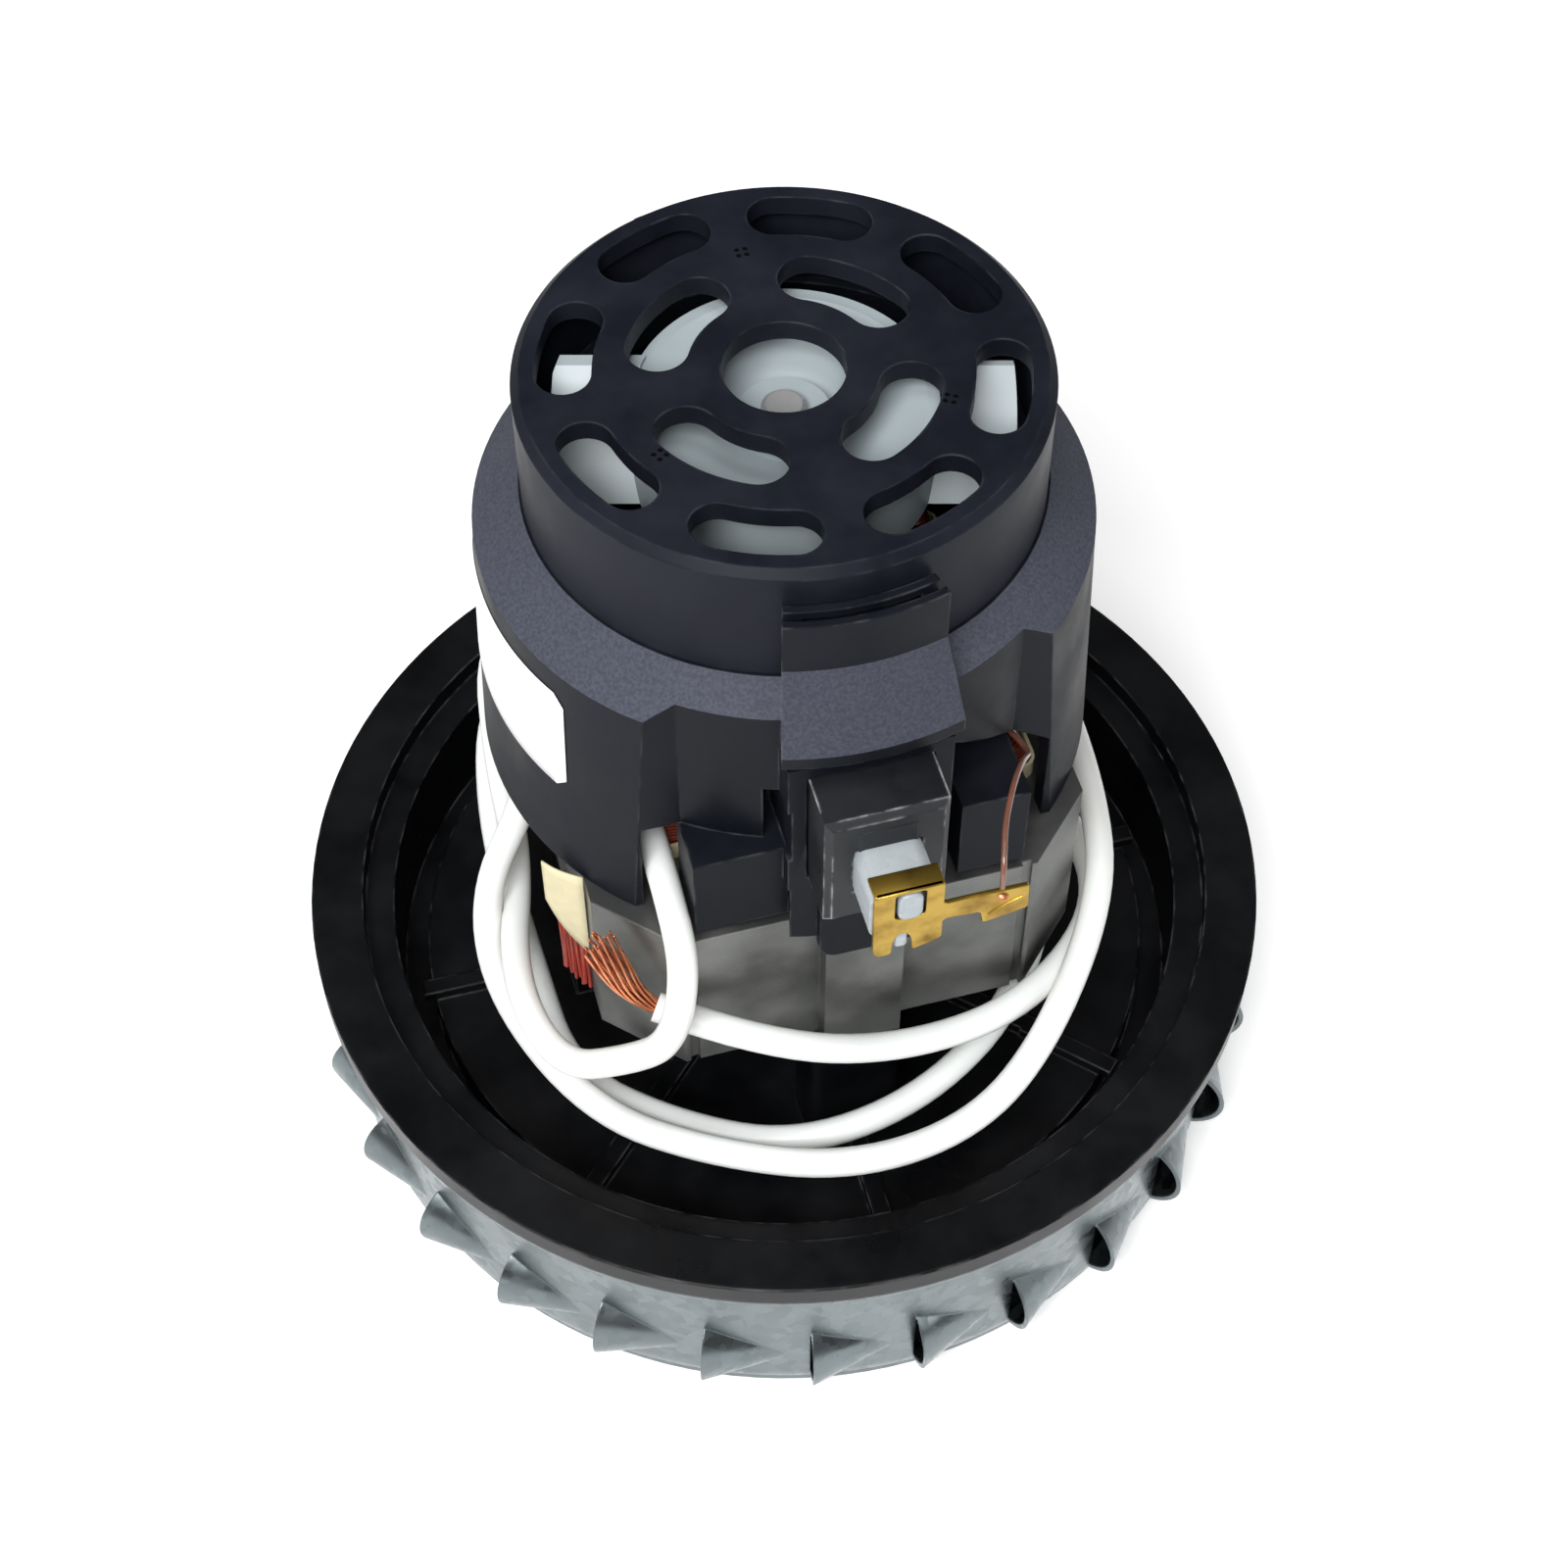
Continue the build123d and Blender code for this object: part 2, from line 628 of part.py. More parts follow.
# Motor housing: drafted wall, sloped shoulder and the upstand that centres the cover
hub_radius = bearing_outer + hub_wall
hub_floor = upper_bearing_z - preload_thickness
hub_top = upper_bearing_z + bearing_width + preload_thickness
upstand_outer = cover_radius - cover_wall - seat_gap
upstand_inner = upstand_outer - upstand_wall
inner_low = housing_low_radius - housing_wall
inner_high = housing_radius - housing_wall
lining_radius = pocket_radius - lining_wall
mouth_floor = shoulder_top - housing_wall / 2
channel_half = holder_half + slide_gap + channel_wall
with BuildPart() as motor_housing:
    with BuildSketch(Plane.XZ):
        with BuildLine():
            Polyline(
                (housing_low_radius, stack_top), (housing_radius, shoulder_low),
                (cover_radius + seat_gap, shoulder_top), (upstand_outer, shoulder_top),
                (upstand_outer, shoulder_top + upstand_height),
                (upstand_inner, shoulder_top + upstand_height),
                (upstand_inner, mouth_floor), (inner_high, shoulder_low - housing_wall / 2),
                (inner_low, stack_top), close=True,
            )
        make_face()
    revolve(axis=Axis.Z)
    # Linings behind the recessed pockets, then the pockets themselves, cut up through the shoulder
    pocket_lows = [turn - 90 + low for _, turn in SIDES for low in (-pocket_end, pocket_start)]
    pocket_span = pocket_end - pocket_start
    ridge_span = pocket_flare - pocket_end + overrun
    linings = [(azimuth, pocket_span, lining_wall) for azimuth in pocket_lows]
    for _, turn in SIDES:
        for azimuth in (turn - 90 - pocket_end - ridge_span, turn - 90 + pocket_end):
            linings.append((azimuth, ridge_span, housing_radius - seat_gap - lining_radius))
    for azimuth, span, thickness in linings:
        with BuildSketch(radial(azimuth)):
            with Locations((lining_radius, pocket_low)):
                Rectangle(thickness, shoulder_low - pocket_low, align=Align.MIN)
        revolve(axis=Axis.Z, revolution_arc=span)
    for azimuth in pocket_lows:
        with BuildSketch(radial(azimuth)):
            with Locations((pocket_radius, stack_top - overrun)):
                Rectangle(pocket_radius, shoulder_top - stack_top + 2 * overrun, align=Align.MIN)
        revolve(axis=Axis.Z, revolution_arc=pocket_span, mode=Mode.SUBTRACT)
    # Slanted ends, where each pocket runs out into the wall
    with BuildSketch(Plane.XY.offset(stack_top - overrun)):
        for _, turn in SIDES:
            for side in (-1, 1):
                ends = [
                    (pocket_radius, pocket_end), (housing_low_radius, pocket_flare),
                    (housing_low_radius + housing_wall, pocket_end),
                    (housing_low_radius, pocket_start), (pocket_radius + seat_gap, pocket_end - overrun),
                ]
                with BuildLine():
                    Polyline(*[polar(reach, turn - 90 + side * swing) for reach, swing in ends], close=True)
                make_face()
    extrude(amount=shoulder_top - stack_top + 2 * overrun, mode=Mode.SUBTRACT)
    # Windows either side of each holder, the right one slanted to its top
    for _, turn in SIDES:
        with BuildSketch(upright(window_back, turn)):
            with BuildLine():
                Polyline(
                    (-window_out, stack_top - overrun), (-channel_half, stack_top - overrun),
                    (-channel_half, pocket_low), (-window_out, pocket_low), close=True,
                )
            make_face()
            with BuildLine():
                Polyline(
                    (channel_half, stack_top - overrun), (window_out, stack_top - overrun),
                    (window_out, window_high - window_slant), (channel_half, window_high), close=True,
                )
            make_face()
        extrude(amount=housing_low_radius - window_back + overrun, mode=Mode.SUBTRACT)
    # Bearing hub and its spokes
    with BuildSketch(level(upper_bearing_z)):
        with PolarLocations((hub_radius + lining_radius) / 2, spoke_count, spoke_turn):
            Rectangle(lining_radius - hub_radius + hub_wall, spoke_width)
    extrude(amount=spoke_height)
    with BuildSketch(level(hub_floor - preload_thickness * 2)):
        Circle(hub_radius)
    extrude(amount=hub_top - hub_floor + preload_thickness * 2)
    for _, turn in SIDES:
        # Channel that takes the brush holder, side blocks, foot and screw lug
        with BuildSketch(upright(channel_inner, turn)):
            with Locations((0, (holder_low + holder_high) / 2)):
                Rectangle(2 * channel_half, holder_high - holder_low + 2 * channel_wall)
        extrude(amount=housing_radius - channel_inner)
        with BuildSketch(upright(block_back, turn)):
            for low, high in (left_block, right_block):
                with Locations((low, block_low)):
                    Rectangle(high - low, block_high - block_low, align=Align.MIN)
        extrude(amount=block_face - block_back)
        with BuildSketch(upright(block_back - block_web, turn)):
            with Locations((0, holder_low - channel_wall)):
                Rectangle(right_block[1], block_high - holder_low + channel_wall, align=Align.MIN)
        extrude(amount=2 * block_web)
        with BuildSketch(upright(foot_depth, turn)):
            with Locations((0, foot_low)):
                Rectangle(2 * foot_half, holder_low - foot_low, align=(Align.CENTER, Align.MIN))
            fillet(vertices().group_by(Axis.Z)[0], foot_corner)
        extrude(amount=stack_half_depth + stack_rib_proud + slide_gap - foot_depth)
        with BuildSketch(level(stack_top, turn)):
            with Locations((0, -lug_inner)):
                Rectangle(2 * foot_half, foot_depth - lug_inner, align=(Align.CENTER, Align.MAX))
        extrude(amount=lug_thickness)
        # Latch over the cover, running down into the pad
        with BuildSketch(radial(turn - 90 - pad_half_angle)):
            with BuildLine():
                Polyline(
                    (cover_radius + seat_gap, shoulder_top - housing_wall),
                    (cover_radius + seat_gap, latch_top),
                    (cover_radius + seat_gap + latch_wall, latch_top),
                    (cover_radius + seat_gap + latch_wall, latch_face_low),
                    (pad_radius, shoulder_low + seat_gap),
                    (pad_radius, pad_low), (pocket_radius - seat_gap, pad_low - latch_wall), close=True,
                )
            make_face()
        revolve(axis=Axis.Z, revolution_arc=2 * pad_half_angle)
    # Cuts: bearing seat, shaft way, holder channels, screw holes, hook recesses and latch grooves
    with BuildSketch(level(hub_floor)):
        Circle(bearing_outer)
    extrude(amount=bearing_width * 2, mode=Mode.SUBTRACT)
    with BuildSketch(level(commutator_low)):
        Circle(bearing_outer - shelf_width)
    extrude(amount=shoulder_top - commutator_low, mode=Mode.SUBTRACT)
    for _, turn in SIDES:
        with BuildSketch(upright(commutator_core, turn)):
            with Locations((0, holder_low)):
                Rectangle(
                    2 * (holder_half + slide_gap), holder_high - holder_low + slide_gap,
                    align=(Align.CENTER, Align.MIN),
                )
        extrude(amount=pad_radius, mode=Mode.SUBTRACT)
        with Locations(level(stack_top + lug_thickness, turn)):
            with Locations((0, -tower_middle)):
                Hole(stator_screw_radius + slide_gap, lug_thickness + overrun)
        with BuildSketch(radial(turn - 90 - hook_half_angle - overrun)):
            with Locations((cover_radius, hook_low - seat_gap)):
                Rectangle(2 * hook_proud, hook_high - hook_low + 2 * seat_gap, align=Align.MIN)
        revolve(axis=Axis.Z, revolution_arc=2 * (hook_half_angle + overrun), mode=Mode.SUBTRACT)
        with BuildSketch(radial(turn - 90 - pad_half_angle - overrun)):
            with Locations((cover_radius + seat_gap + latch_slot, latch_top)):
                Rectangle(latch_slot, latch_slot_depth, align=(Align.MIN, Align.MAX))
        revolve(axis=Axis.Z, revolution_arc=2 * (pad_half_angle + overrun), mode=Mode.SUBTRACT)
        with BuildSketch(upright(block_back, turn)):
            with Locations((peep_slot[0], peep_low)):
                Rectangle(peep_slot[1] - peep_slot[0], peep_high - peep_low, align=Align.MIN)
        extrude(amount=pad_radius - block_back, mode=Mode.SUBTRACT)
save(motor_housing, "motor_housing")

# Cover: a cap with two rings of curved vents, a centre hole and a hook under each latch
with BuildPart() as fan_cover:
    with BuildSketch(level(shoulder_top)):
        Circle(cover_radius)
    extrude(amount=cover_top - shoulder_top)
    chamfer(faces().sort_by(Axis.Z)[-1].edges(), cover_edge)
    with BuildSketch(level(shoulder_top)):
        Circle(cover_radius - cover_wall)
    extrude(amount=cover_top - cover_roof - shoulder_top, mode=Mode.SUBTRACT)
    for _, turn in SIDES:
        with BuildSketch(radial(turn - 90 - hook_half_angle)):
            with BuildLine():
                Polyline(
                    (cover_radius - cover_wall / 2, hook_low), (cover_radius + hook_proud, hook_low),
                    (cover_radius + hook_proud, hook_low + hook_proud),
                    (cover_radius - cover_wall / 2, hook_high),
                    close=True,
                )
            make_face()
        revolve(axis=Axis.Z, revolution_arc=2 * hook_half_angle)
    with BuildSketch(Plane.XY.offset(cover_top)):
        Circle(centre_hole)
        for count, start, radius, width, span in (
            (inner_slot_count, inner_slot_turn, inner_slot_radius, inner_slot_width, inner_slot_span),
            (outer_slot_count, outer_slot_turn, outer_slot_radius, outer_slot_width, outer_slot_span),
        ):
            for index in range(count):
                middle = frame_turn + start + index * 360 / count
                SlotArc(CenterArc((0, 0), radius, middle - span / 2, span, mode=Mode.PRIVATE), width)
    extrude(amount=-cover_roof - overrun, mode=Mode.SUBTRACT)
save(fan_cover, "fan_cover")

# Brush gear, front and rear
for name, turn in SIDES:
    with BuildPart() as holder:
        with BuildSketch(upright(holder_inner, turn)):
            with Locations((0, holder_low)):
                Rectangle(2 * holder_half, holder_high - holder_low, align=(Align.CENTER, Align.MIN))
        extrude(amount=holder_face - holder_inner)
        outward = Axis((0, 0, 0), upright(0, turn).z_dir)
        chamfer(faces().sort_by(outward)[-1].edges(), holder_chamfer)
        with BuildSketch(upright(holder_inner, turn)):
            with Locations((0, box_low)):
                Rectangle(2 * box_half, box_high - box_low, align=(Align.CENTER, Align.MIN))
        extrude(amount=holder_face, mode=Mode.SUBTRACT)
        # Shallow recess above and below the steel box
        with BuildSketch(upright(holder_face, turn)):
            with Locations((0, box_high)):
                Rectangle(box_half + overrun, holder_recess * 2, align=(Align.CENTER, Align.MIN))
            with Locations((0, box_low)):
                Rectangle(box_half + overrun, holder_recess * 2, align=(Align.CENTER, Align.MAX))
        extrude(amount=-holder_recess, mode=Mode.SUBTRACT)
    save(holder, f"brush_holder_{name}")

    # Steel box with a tongue folded down over its mouth
    with BuildPart() as box:
        with BuildSketch(upright(box_inner_end, turn)):
            with Locations((0, box_low)):
                Rectangle(2 * box_half, box_high - box_low, align=(Align.CENTER, Align.MIN))
            with Locations((0, box_low + box_wall)):
                Rectangle(
                    2 * (box_half - box_wall), box_high - box_low - 2 * box_wall,
                    align=(Align.CENTER, Align.MIN), mode=Mode.SUBTRACT,
                )
        extrude(amount=box_outer_end - box_inner_end)
        with BuildSketch(radial(turn - 90)):
            with BuildLine():
                Polyline(
                    (box_outer_end - tab_back, box_high - box_wall / 2), (box_outer_end - tab_back, tab_bend),
                    (box_outer_end + cap_thickness, tab_bend), (box_outer_end + cap_thickness, tab_low),
                    (box_outer_end + 2 * cap_thickness, tab_low),
                    (box_outer_end + 2 * cap_thickness, tab_bend + cap_thickness),
                    (box_outer_end - tab_back + cap_thickness, tab_bend + cap_thickness),
                    (box_outer_end - tab_back + cap_thickness, box_high - box_wall / 2), close=True,
                )
            make_face()
        extrude(amount=cap_gap_half - seat_gap, both=True)
    save(box, f"brush_box_{name}")

    # Brass cap: a roof strip, two legs, and a neck out to the soldering tongue
    with BuildPart() as cap:
        with BuildSketch(upright(box_outer_end, turn)):
            with Locations((0, box_high + cap_thickness)):
                Rectangle(2 * box_half, cap_bridge, align=(Align.CENTER, Align.MAX))
            for side in (-1, 1):
                with Locations((side * (box_half - cap_leg_wide / 2), box_high + cap_thickness)):
                    cap_leg_long = box_high - box_low + cap_thickness + cap_leg_drop
                    Rectangle(cap_leg_wide, cap_leg_long, align=(Align.CENTER, Align.MAX))
            with Locations((box_half - cap_thickness, neck_middle)):
                Rectangle(neck_end - box_half + 2 * cap_thickness, neck_high, align=(Align.MIN, Align.CENTER))
            with Locations((neck_end, tongue_middle)):
                Rectangle(tongue_end - neck_end, tongue_high, align=(Align.MIN, Align.CENTER))
        extrude(amount=cap_thickness)
        with BuildSketch(upright(box_outer_end - cap_roof + cap_thickness, turn)):
            with Locations((0, box_high)):
                Rectangle(2 * box_half, cap_thickness, align=(Align.CENTER, Align.MIN))
        extrude(amount=cap_roof)
        # Gap between the legs, up to the fold of the steel tongue
        with BuildSketch(upright(box_outer_end, turn)):
            with Locations((0, tab_bend + cap_thickness + seat_gap)):
                Rectangle(2 * cap_gap_half, box_high, align=(Align.CENTER, Align.MAX))
        extrude(amount=cap_thickness, mode=Mode.SUBTRACT)
    save(cap, f"brush_cap_{name}")

    # Carbon brush with its end curved to the commutator, and the spring behind it
    brush_tip = commutator_radius + seat_gap
    brush_end = brush_tip + brush_length
    with BuildPart() as brush:
        with BuildSketch(upright(commutator_core, turn)):
            with Locations((0, brush_level)):
                Rectangle(brush_wide, brush_tall)
        extrude(amount=brush_end - commutator_core)
        with BuildSketch(level(holder_low)):
            Circle(brush_tip)
        extrude(amount=holder_high - holder_low, mode=Mode.SUBTRACT)
        outward = Axis((0, 0, 0), upright(0, turn).z_dir)
        chamfer(faces().sort_by(outward)[-1].edges(), brush_gap)
    save(brush, f"carbon_brush_{name}")

    with BuildPart() as spring:
        with BuildSketch(upright(brush_end + slide_gap / 2, turn)):
            with Locations((0, brush_level)):
                Circle(spring_radius)
                Circle(spring_radius - spring_wire, mode=Mode.SUBTRACT)
        extrude(amount=box_outer_end - tab_back - slide_gap / 2 - brush_end - slide_gap / 2)
    save(spring, f"brush_spring_{name}")

# Long screws that clamp the housing, the stack and the dish
with BuildPart() as stator_screws:
    lug_top = stack_top + lug_thickness
    shank = lug_top - stack_bottom + stator_screw_depth - overrun
    with BuildSketch(level(lug_top)):
        with Locations((0, -tower_middle), (0, tower_middle)):
            Circle(stator_screw_radius)
    extrude(amount=-shank)
    with BuildSketch(level(lug_top)):
        with Locations((0, -tower_middle), (0, tower_middle)):
            Circle(stator_screw_head)
    extrude(amount=stator_screw_head_height)
    chamfer(faces().sort_by(Axis.Z)[-2:].edges(), stator_screw_chamfer)
    with BuildSketch(level(lug_top + stator_screw_head_height)):
        with Locations((0, -tower_middle), (0, tower_middle)):
            RegularPolygon(stator_screw_radius, 6)
    extrude(amount=-stator_screw_head_height / 2, mode=Mode.SUBTRACT)
save(stator_screws, "stator_screws")

# Shaft: bearing journals either side of a thicker middle, thinner again under the cooling fan
with BuildPart() as shaft:
    with BuildSketch(Plane.XZ):
        with BuildLine():
            Polyline(
                (0, shaft_low), (shaft_radius - shaft_chamfer, shaft_low),
                (shaft_radius, shaft_low + shaft_chamfer),
                (shaft_radius, boss_top), (shaft_shoulder, boss_top), (shaft_shoulder, upper_bearing_z),
                (shaft_radius, upper_bearing_z), (shaft_radius, shaft_tip_low),
                (shaft_tip_radius, shaft_tip_low),
                (shaft_tip_radius, shaft_top - shaft_chamfer), (shaft_tip_radius - shaft_chamfer, shaft_top),
                (0, shaft_top), close=True,
            )
        make_face()
    revolve(axis=Axis.Z)
save(shaft, "shaft")

# Armature: slotted core, end boards of the same outline, winding in the slots and round the ends
slot_length = armature_slot_outer - armature_slot_inner
slot_centre = (armature_slot_outer + armature_slot_inner) / 2


def armature_outline(radius):
    """The slotted disc of the core, as a sketch in the open context."""
    Circle(radius)
    Circle(shaft_shoulder, mode=Mode.SUBTRACT)
    with PolarLocations(slot_centre, armature_slot_count):
        Rectangle(slot_length, armature_slot_wide, mode=Mode.SUBTRACT)
    with PolarLocations(armature_radius, armature_slot_count):
        Rectangle(2 * (armature_radius - slot_centre), armature_mouth, mode=Mode.SUBTRACT)


with BuildPart() as armature_core:
    with BuildSketch(level(stack_bottom)):
        armature_outline(armature_radius)
    extrude(amount=stack_height)
save(armature_core, "armature_core")

with BuildPart() as end_boards:
    for height in (stack_bottom - end_board, stack_top):
        with BuildSketch(level(height)):
            armature_outline(armature_radius - slide_gap)
        extrude(amount=end_board)
save(end_boards, "end_boards")

winding_inner = shaft_shoulder + run_gap
with BuildPart() as armature_winding:
    with BuildSketch(level(stack_bottom - end_board - overrun)):
        with PolarLocations(slot_centre, armature_slot_count):
            Rectangle(slot_length - 2 * slide_gap, armature_slot_wide - 2 * slide_gap)
    extrude(amount=stack_height + 2 * end_board + 2 * overrun)
    for height, side in ((stack_bottom - end_board, -1), (stack_top + end_board, 1)):
        rise = side * (winding_overhang - end_board)
        with BuildSketch(Plane.XZ):
            with BuildLine():
                Polyline(
                    (winding_inner, height), (coil_front - run_gap, height),
                    (coil_front - run_gap, height + side * overrun),
                    (winding_radius, height + rise / 2),
                    (winding_radius, height + rise - side * winding_edge),
                    (winding_radius - winding_edge, height + rise), (winding_inner, height + rise),
                    close=True,
                )
            make_face()
        revolve(axis=Axis.Z)
save(armature_winding, "armature_winding")

# Commutator: copper bars with risers, kept apart by the moulded hub
with BuildPart() as commutator_bars:
    with BuildSketch(level(commutator_low)):
        Circle(riser_radius)
        Circle(commutator_core, mode=Mode.SUBTRACT)
    extrude(amount=riser_height)
    with BuildSketch(level(commutator_low)):
        Circle(commutator_radius)
        Circle(commutator_core, mode=Mode.SUBTRACT)
    extrude(amount=commutator_height)
    with BuildSketch(level(commutator_low)):
        with PolarLocations(riser_radius, segment_count):
            Rectangle(2 * (riser_radius - commutator_core) + overrun, segment_gap)
    extrude(amount=commutator_height, mode=Mode.SUBTRACT)
save(commutator_bars, "commutator_bars")

with BuildPart() as commutator_hub:
    with BuildSketch(level(commutator_low - end_board)):
        Circle(commutator_core)
        Circle(shaft_shoulder, mode=Mode.SUBTRACT)
    extrude(amount=commutator_height + 2 * end_board)
    with BuildSketch(level(commutator_low)):
        web_length = commutator_radius - segment_gap_depth - commutator_core
        with PolarLocations(commutator_core + web_length / 2 - segment_gap, segment_count):
            Rectangle(web_length + 2 * segment_gap, segment_gap)
    extrude(amount=commutator_height)
save(commutator_hub, "commutator_hub")

# Impeller: two sheet discs with curved blades between them
front_top = impeller_low + impeller_sheet
back_low = impeller_top - impeller_sheet
with BuildPart() as impeller_front:
    with BuildSketch(Plane.XY.offset(impeller_low)):
        Circle(impeller_radius)
        Circle(impeller_eye, mode=Mode.SUBTRACT)
    extrude(amount=impeller_sheet)
save(impeller_front, "impeller_front")

with BuildPart() as impeller_back:
    with BuildSketch(Plane.XY.offset(back_low)):
        Circle(impeller_radius)
        Circle(shaft_radius, mode=Mode.SUBTRACT)
    extrude(amount=impeller_sheet)
save(impeller_back, "impeller_back")

blade_outer = impeller_radius - overrun
blade_end = (blade_outer * cos(radians(blade_lean)), blade_outer * sin(radians(blade_lean)))
with BuildPart() as impeller_blades:
    with BuildSketch(Plane.XY.offset(front_top)):
        with BuildSketch(mode=Mode.PRIVATE) as blade_outline:
            with BuildLine():
                RadiusArc((blade_inner, 0), blade_end, -blade_bow_radius)
            trace(line_width=blade_thickness)
        with PolarLocations(0, blade_count):
            add(blade_outline.sketch)
    extrude(amount=back_low - front_top)
save(impeller_blades, "impeller_blades")

with BuildPart() as impeller_washers:
    for height in (back_low - washer_thickness, impeller_top):
        with BuildSketch(Plane.XY.offset(height)):
            Circle(washer_radius)
            Circle(shaft_radius, mode=Mode.SUBTRACT)
        extrude(amount=washer_thickness)
save(impeller_washers, "impeller_washers")

with BuildPart() as impeller_spacer:
    with BuildSketch(Plane.XY.offset(impeller_top + washer_thickness)):
        Circle(spacer_radius)
        Circle(shaft_radius, mode=Mode.SUBTRACT)
    extrude(amount=lower_bearing_z - impeller_top - washer_thickness)
save(impeller_spacer, "impeller_spacer")

nut_top = back_low - washer_thickness
with BuildPart() as impeller_nut:
    with BuildSketch(Plane.XY.offset(nut_top - nut_height)):
        RegularPolygon(nut_across / 2, 6, major_radius=False)
        Circle(shaft_radius, mode=Mode.SUBTRACT)
    extrude(amount=nut_height)
save(impeller_nut, "impeller_nut")

# Cooling fan: a dished hub on a skirt, with pitched vanes round it
with BuildPart() as cooling_fan:
    with BuildSketch(Plane.XZ):
        bowl_rim = fan_high - bowl_lip
        bowl_floor = bowl_rim - bowl_depth
        with BuildLine():
            Polyline(
                (shaft_tip_radius, bowl_floor - bowl_wall), (shaft_tip_radius, bowl_floor + fan_boss_height),
                (fan_hub_radius, bowl_floor + fan_boss_height), (fan_hub_radius, bowl_floor),
                (bowl_radius - bowl_wall, bowl_rim), (bowl_radius, bowl_rim), (bowl_radius, fan_low),
                (bowl_radius - bowl_wall, fan_low), (bowl_radius - bowl_wall, bowl_rim - 2 * bowl_wall),
                (fan_hub_radius, bowl_floor - bowl_wall), close=True,
            )
        make_face()
    revolve(axis=Axis.Z)
    with BuildSketch(Plane.XY.offset(shaft_tip_low)):
        Circle(fan_hub_radius)
        Circle(shaft_tip_radius, mode=Mode.SUBTRACT)
    extrude(amount=bowl_floor - shaft_tip_low)
    vane_length = fan_radius - bowl_radius + bowl_wall
    vane_chord = (fan_high - fan_low) / cos(radians(vane_pitch)) - vane_thickness
    with BuildPart(mode=Mode.PRIVATE) as vanes:
        for index in range(vane_count):
            azimuth = index * 360 / vane_count
            vane_plane = Plane.XY.offset((fan_low + fan_high) / 2).rotated((0, 0, azimuth))
            with BuildSketch(vane_plane.rotated((vane_pitch, 0, 0))):
                with Locations((bowl_radius - bowl_wall / 2, 0)):
                    Rectangle(fan_radius + overrun - bowl_radius, vane_chord, align=(Align.MIN, Align.CENTER))
            extrude(amount=vane_thickness / 2, both=True)
        with BuildSketch(Plane.XY.offset(fan_low)):
            Circle(fan_radius)
            Circle(bowl_radius - bowl_wall / 2, mode=Mode.SUBTRACT)
        extrude(amount=fan_high - fan_low, mode=Mode.INTERSECT)
    add(vanes.part)
save(cooling_fan, "cooling_fan")


def spot(across, out, height):
    """A point from its place in the motor head: across, out along the brush axis, and height."""
    angle = radians(frame_turn)
    return Vector(across * cos(angle) + out * sin(angle), across * sin(angle) - out * cos(angle), height)


def route_radii(points):
    """Each bend takes a share of the shorter run beside it."""
    radii = []
    for before, here, after in zip(points, points[1:], points[2:]):
        turned = radians((here - before).get_angle(after - here))
        shorter = min((here - before).length, (after - here).length)
        radii.append(bend_share * shorter / tan(turned / 2))
    return radii


def self_gap(line, run, radius):
    """The least gap between stretches of a tube that lie apart along it, from points on its line."""
    count = int(run / radius / sample_share)
    places = [line @ (index / count) for index in range(count + 1)]
    apart = int(2 * pi / sample_share) + 1
    gaps = [
        (places[one] - places[other]).length
        for one in range(count) for other in range(one + apart, count + 1)
    ]
    return min(gaps) - 2 * radius


def tube(points, radius, name):
    """Sweep a round section along straight runs joined by tangent arcs."""
    radii = route_radii(points)
    with BuildPart() as piece:
        with BuildLine() as path:
            FilletPolyline(*points, radius=radii)
        with BuildSketch(Plane(origin=path.line @ 0, z_dir=path.line % 0)):
            Circle(radius)
        sweep()
    run = sum(edge.length for edge in path.line.edges())
    print(name, "length", round(run, 1), "radii", [round(r, 1) for r in radii])
    print(name, "volume share", round(piece.part.volume / (pi * radius**2 * run), 4))
    print(name, "least gap to itself", round(self_gap(path.line, run, radius), 2))
    save(piece, name)


# Field wires: from each brass tongue in through the window, round the block and down to the coil
for name, turn in SIDES:
    flip = cos(radians(turn))
    route = [spot(flip * across, flip * out, height) for across, out, height in FIELD_WIRE]
    tube(route, wire_radius, f"field_wire_{name}")

# White leads: hand-set routes in the motor head's own frame, each ending in bare strands
long_lead_route = [spot(*point) for point in LONG_LEAD]
short_lead_route = [spot(*point) for point in SHORT_LEAD]
tube(long_lead_route, lead_radius, "long_lead")
tube(short_lead_route, lead_radius, "short_lead")
with BuildPart() as lead_strands:
    for points in STRAND_ENDS:
        with BuildLine() as strand_line:
            FilletPolyline(*[spot(*point) for point in points], radius=strand_bend)
        with BuildSketch(Plane(origin=strand_line.line @ 0, z_dir=strand_line.line % 0)):
            Circle(strand_radius)
        sweep(path=strand_line.line)
save(lead_strands, "lead_strands")
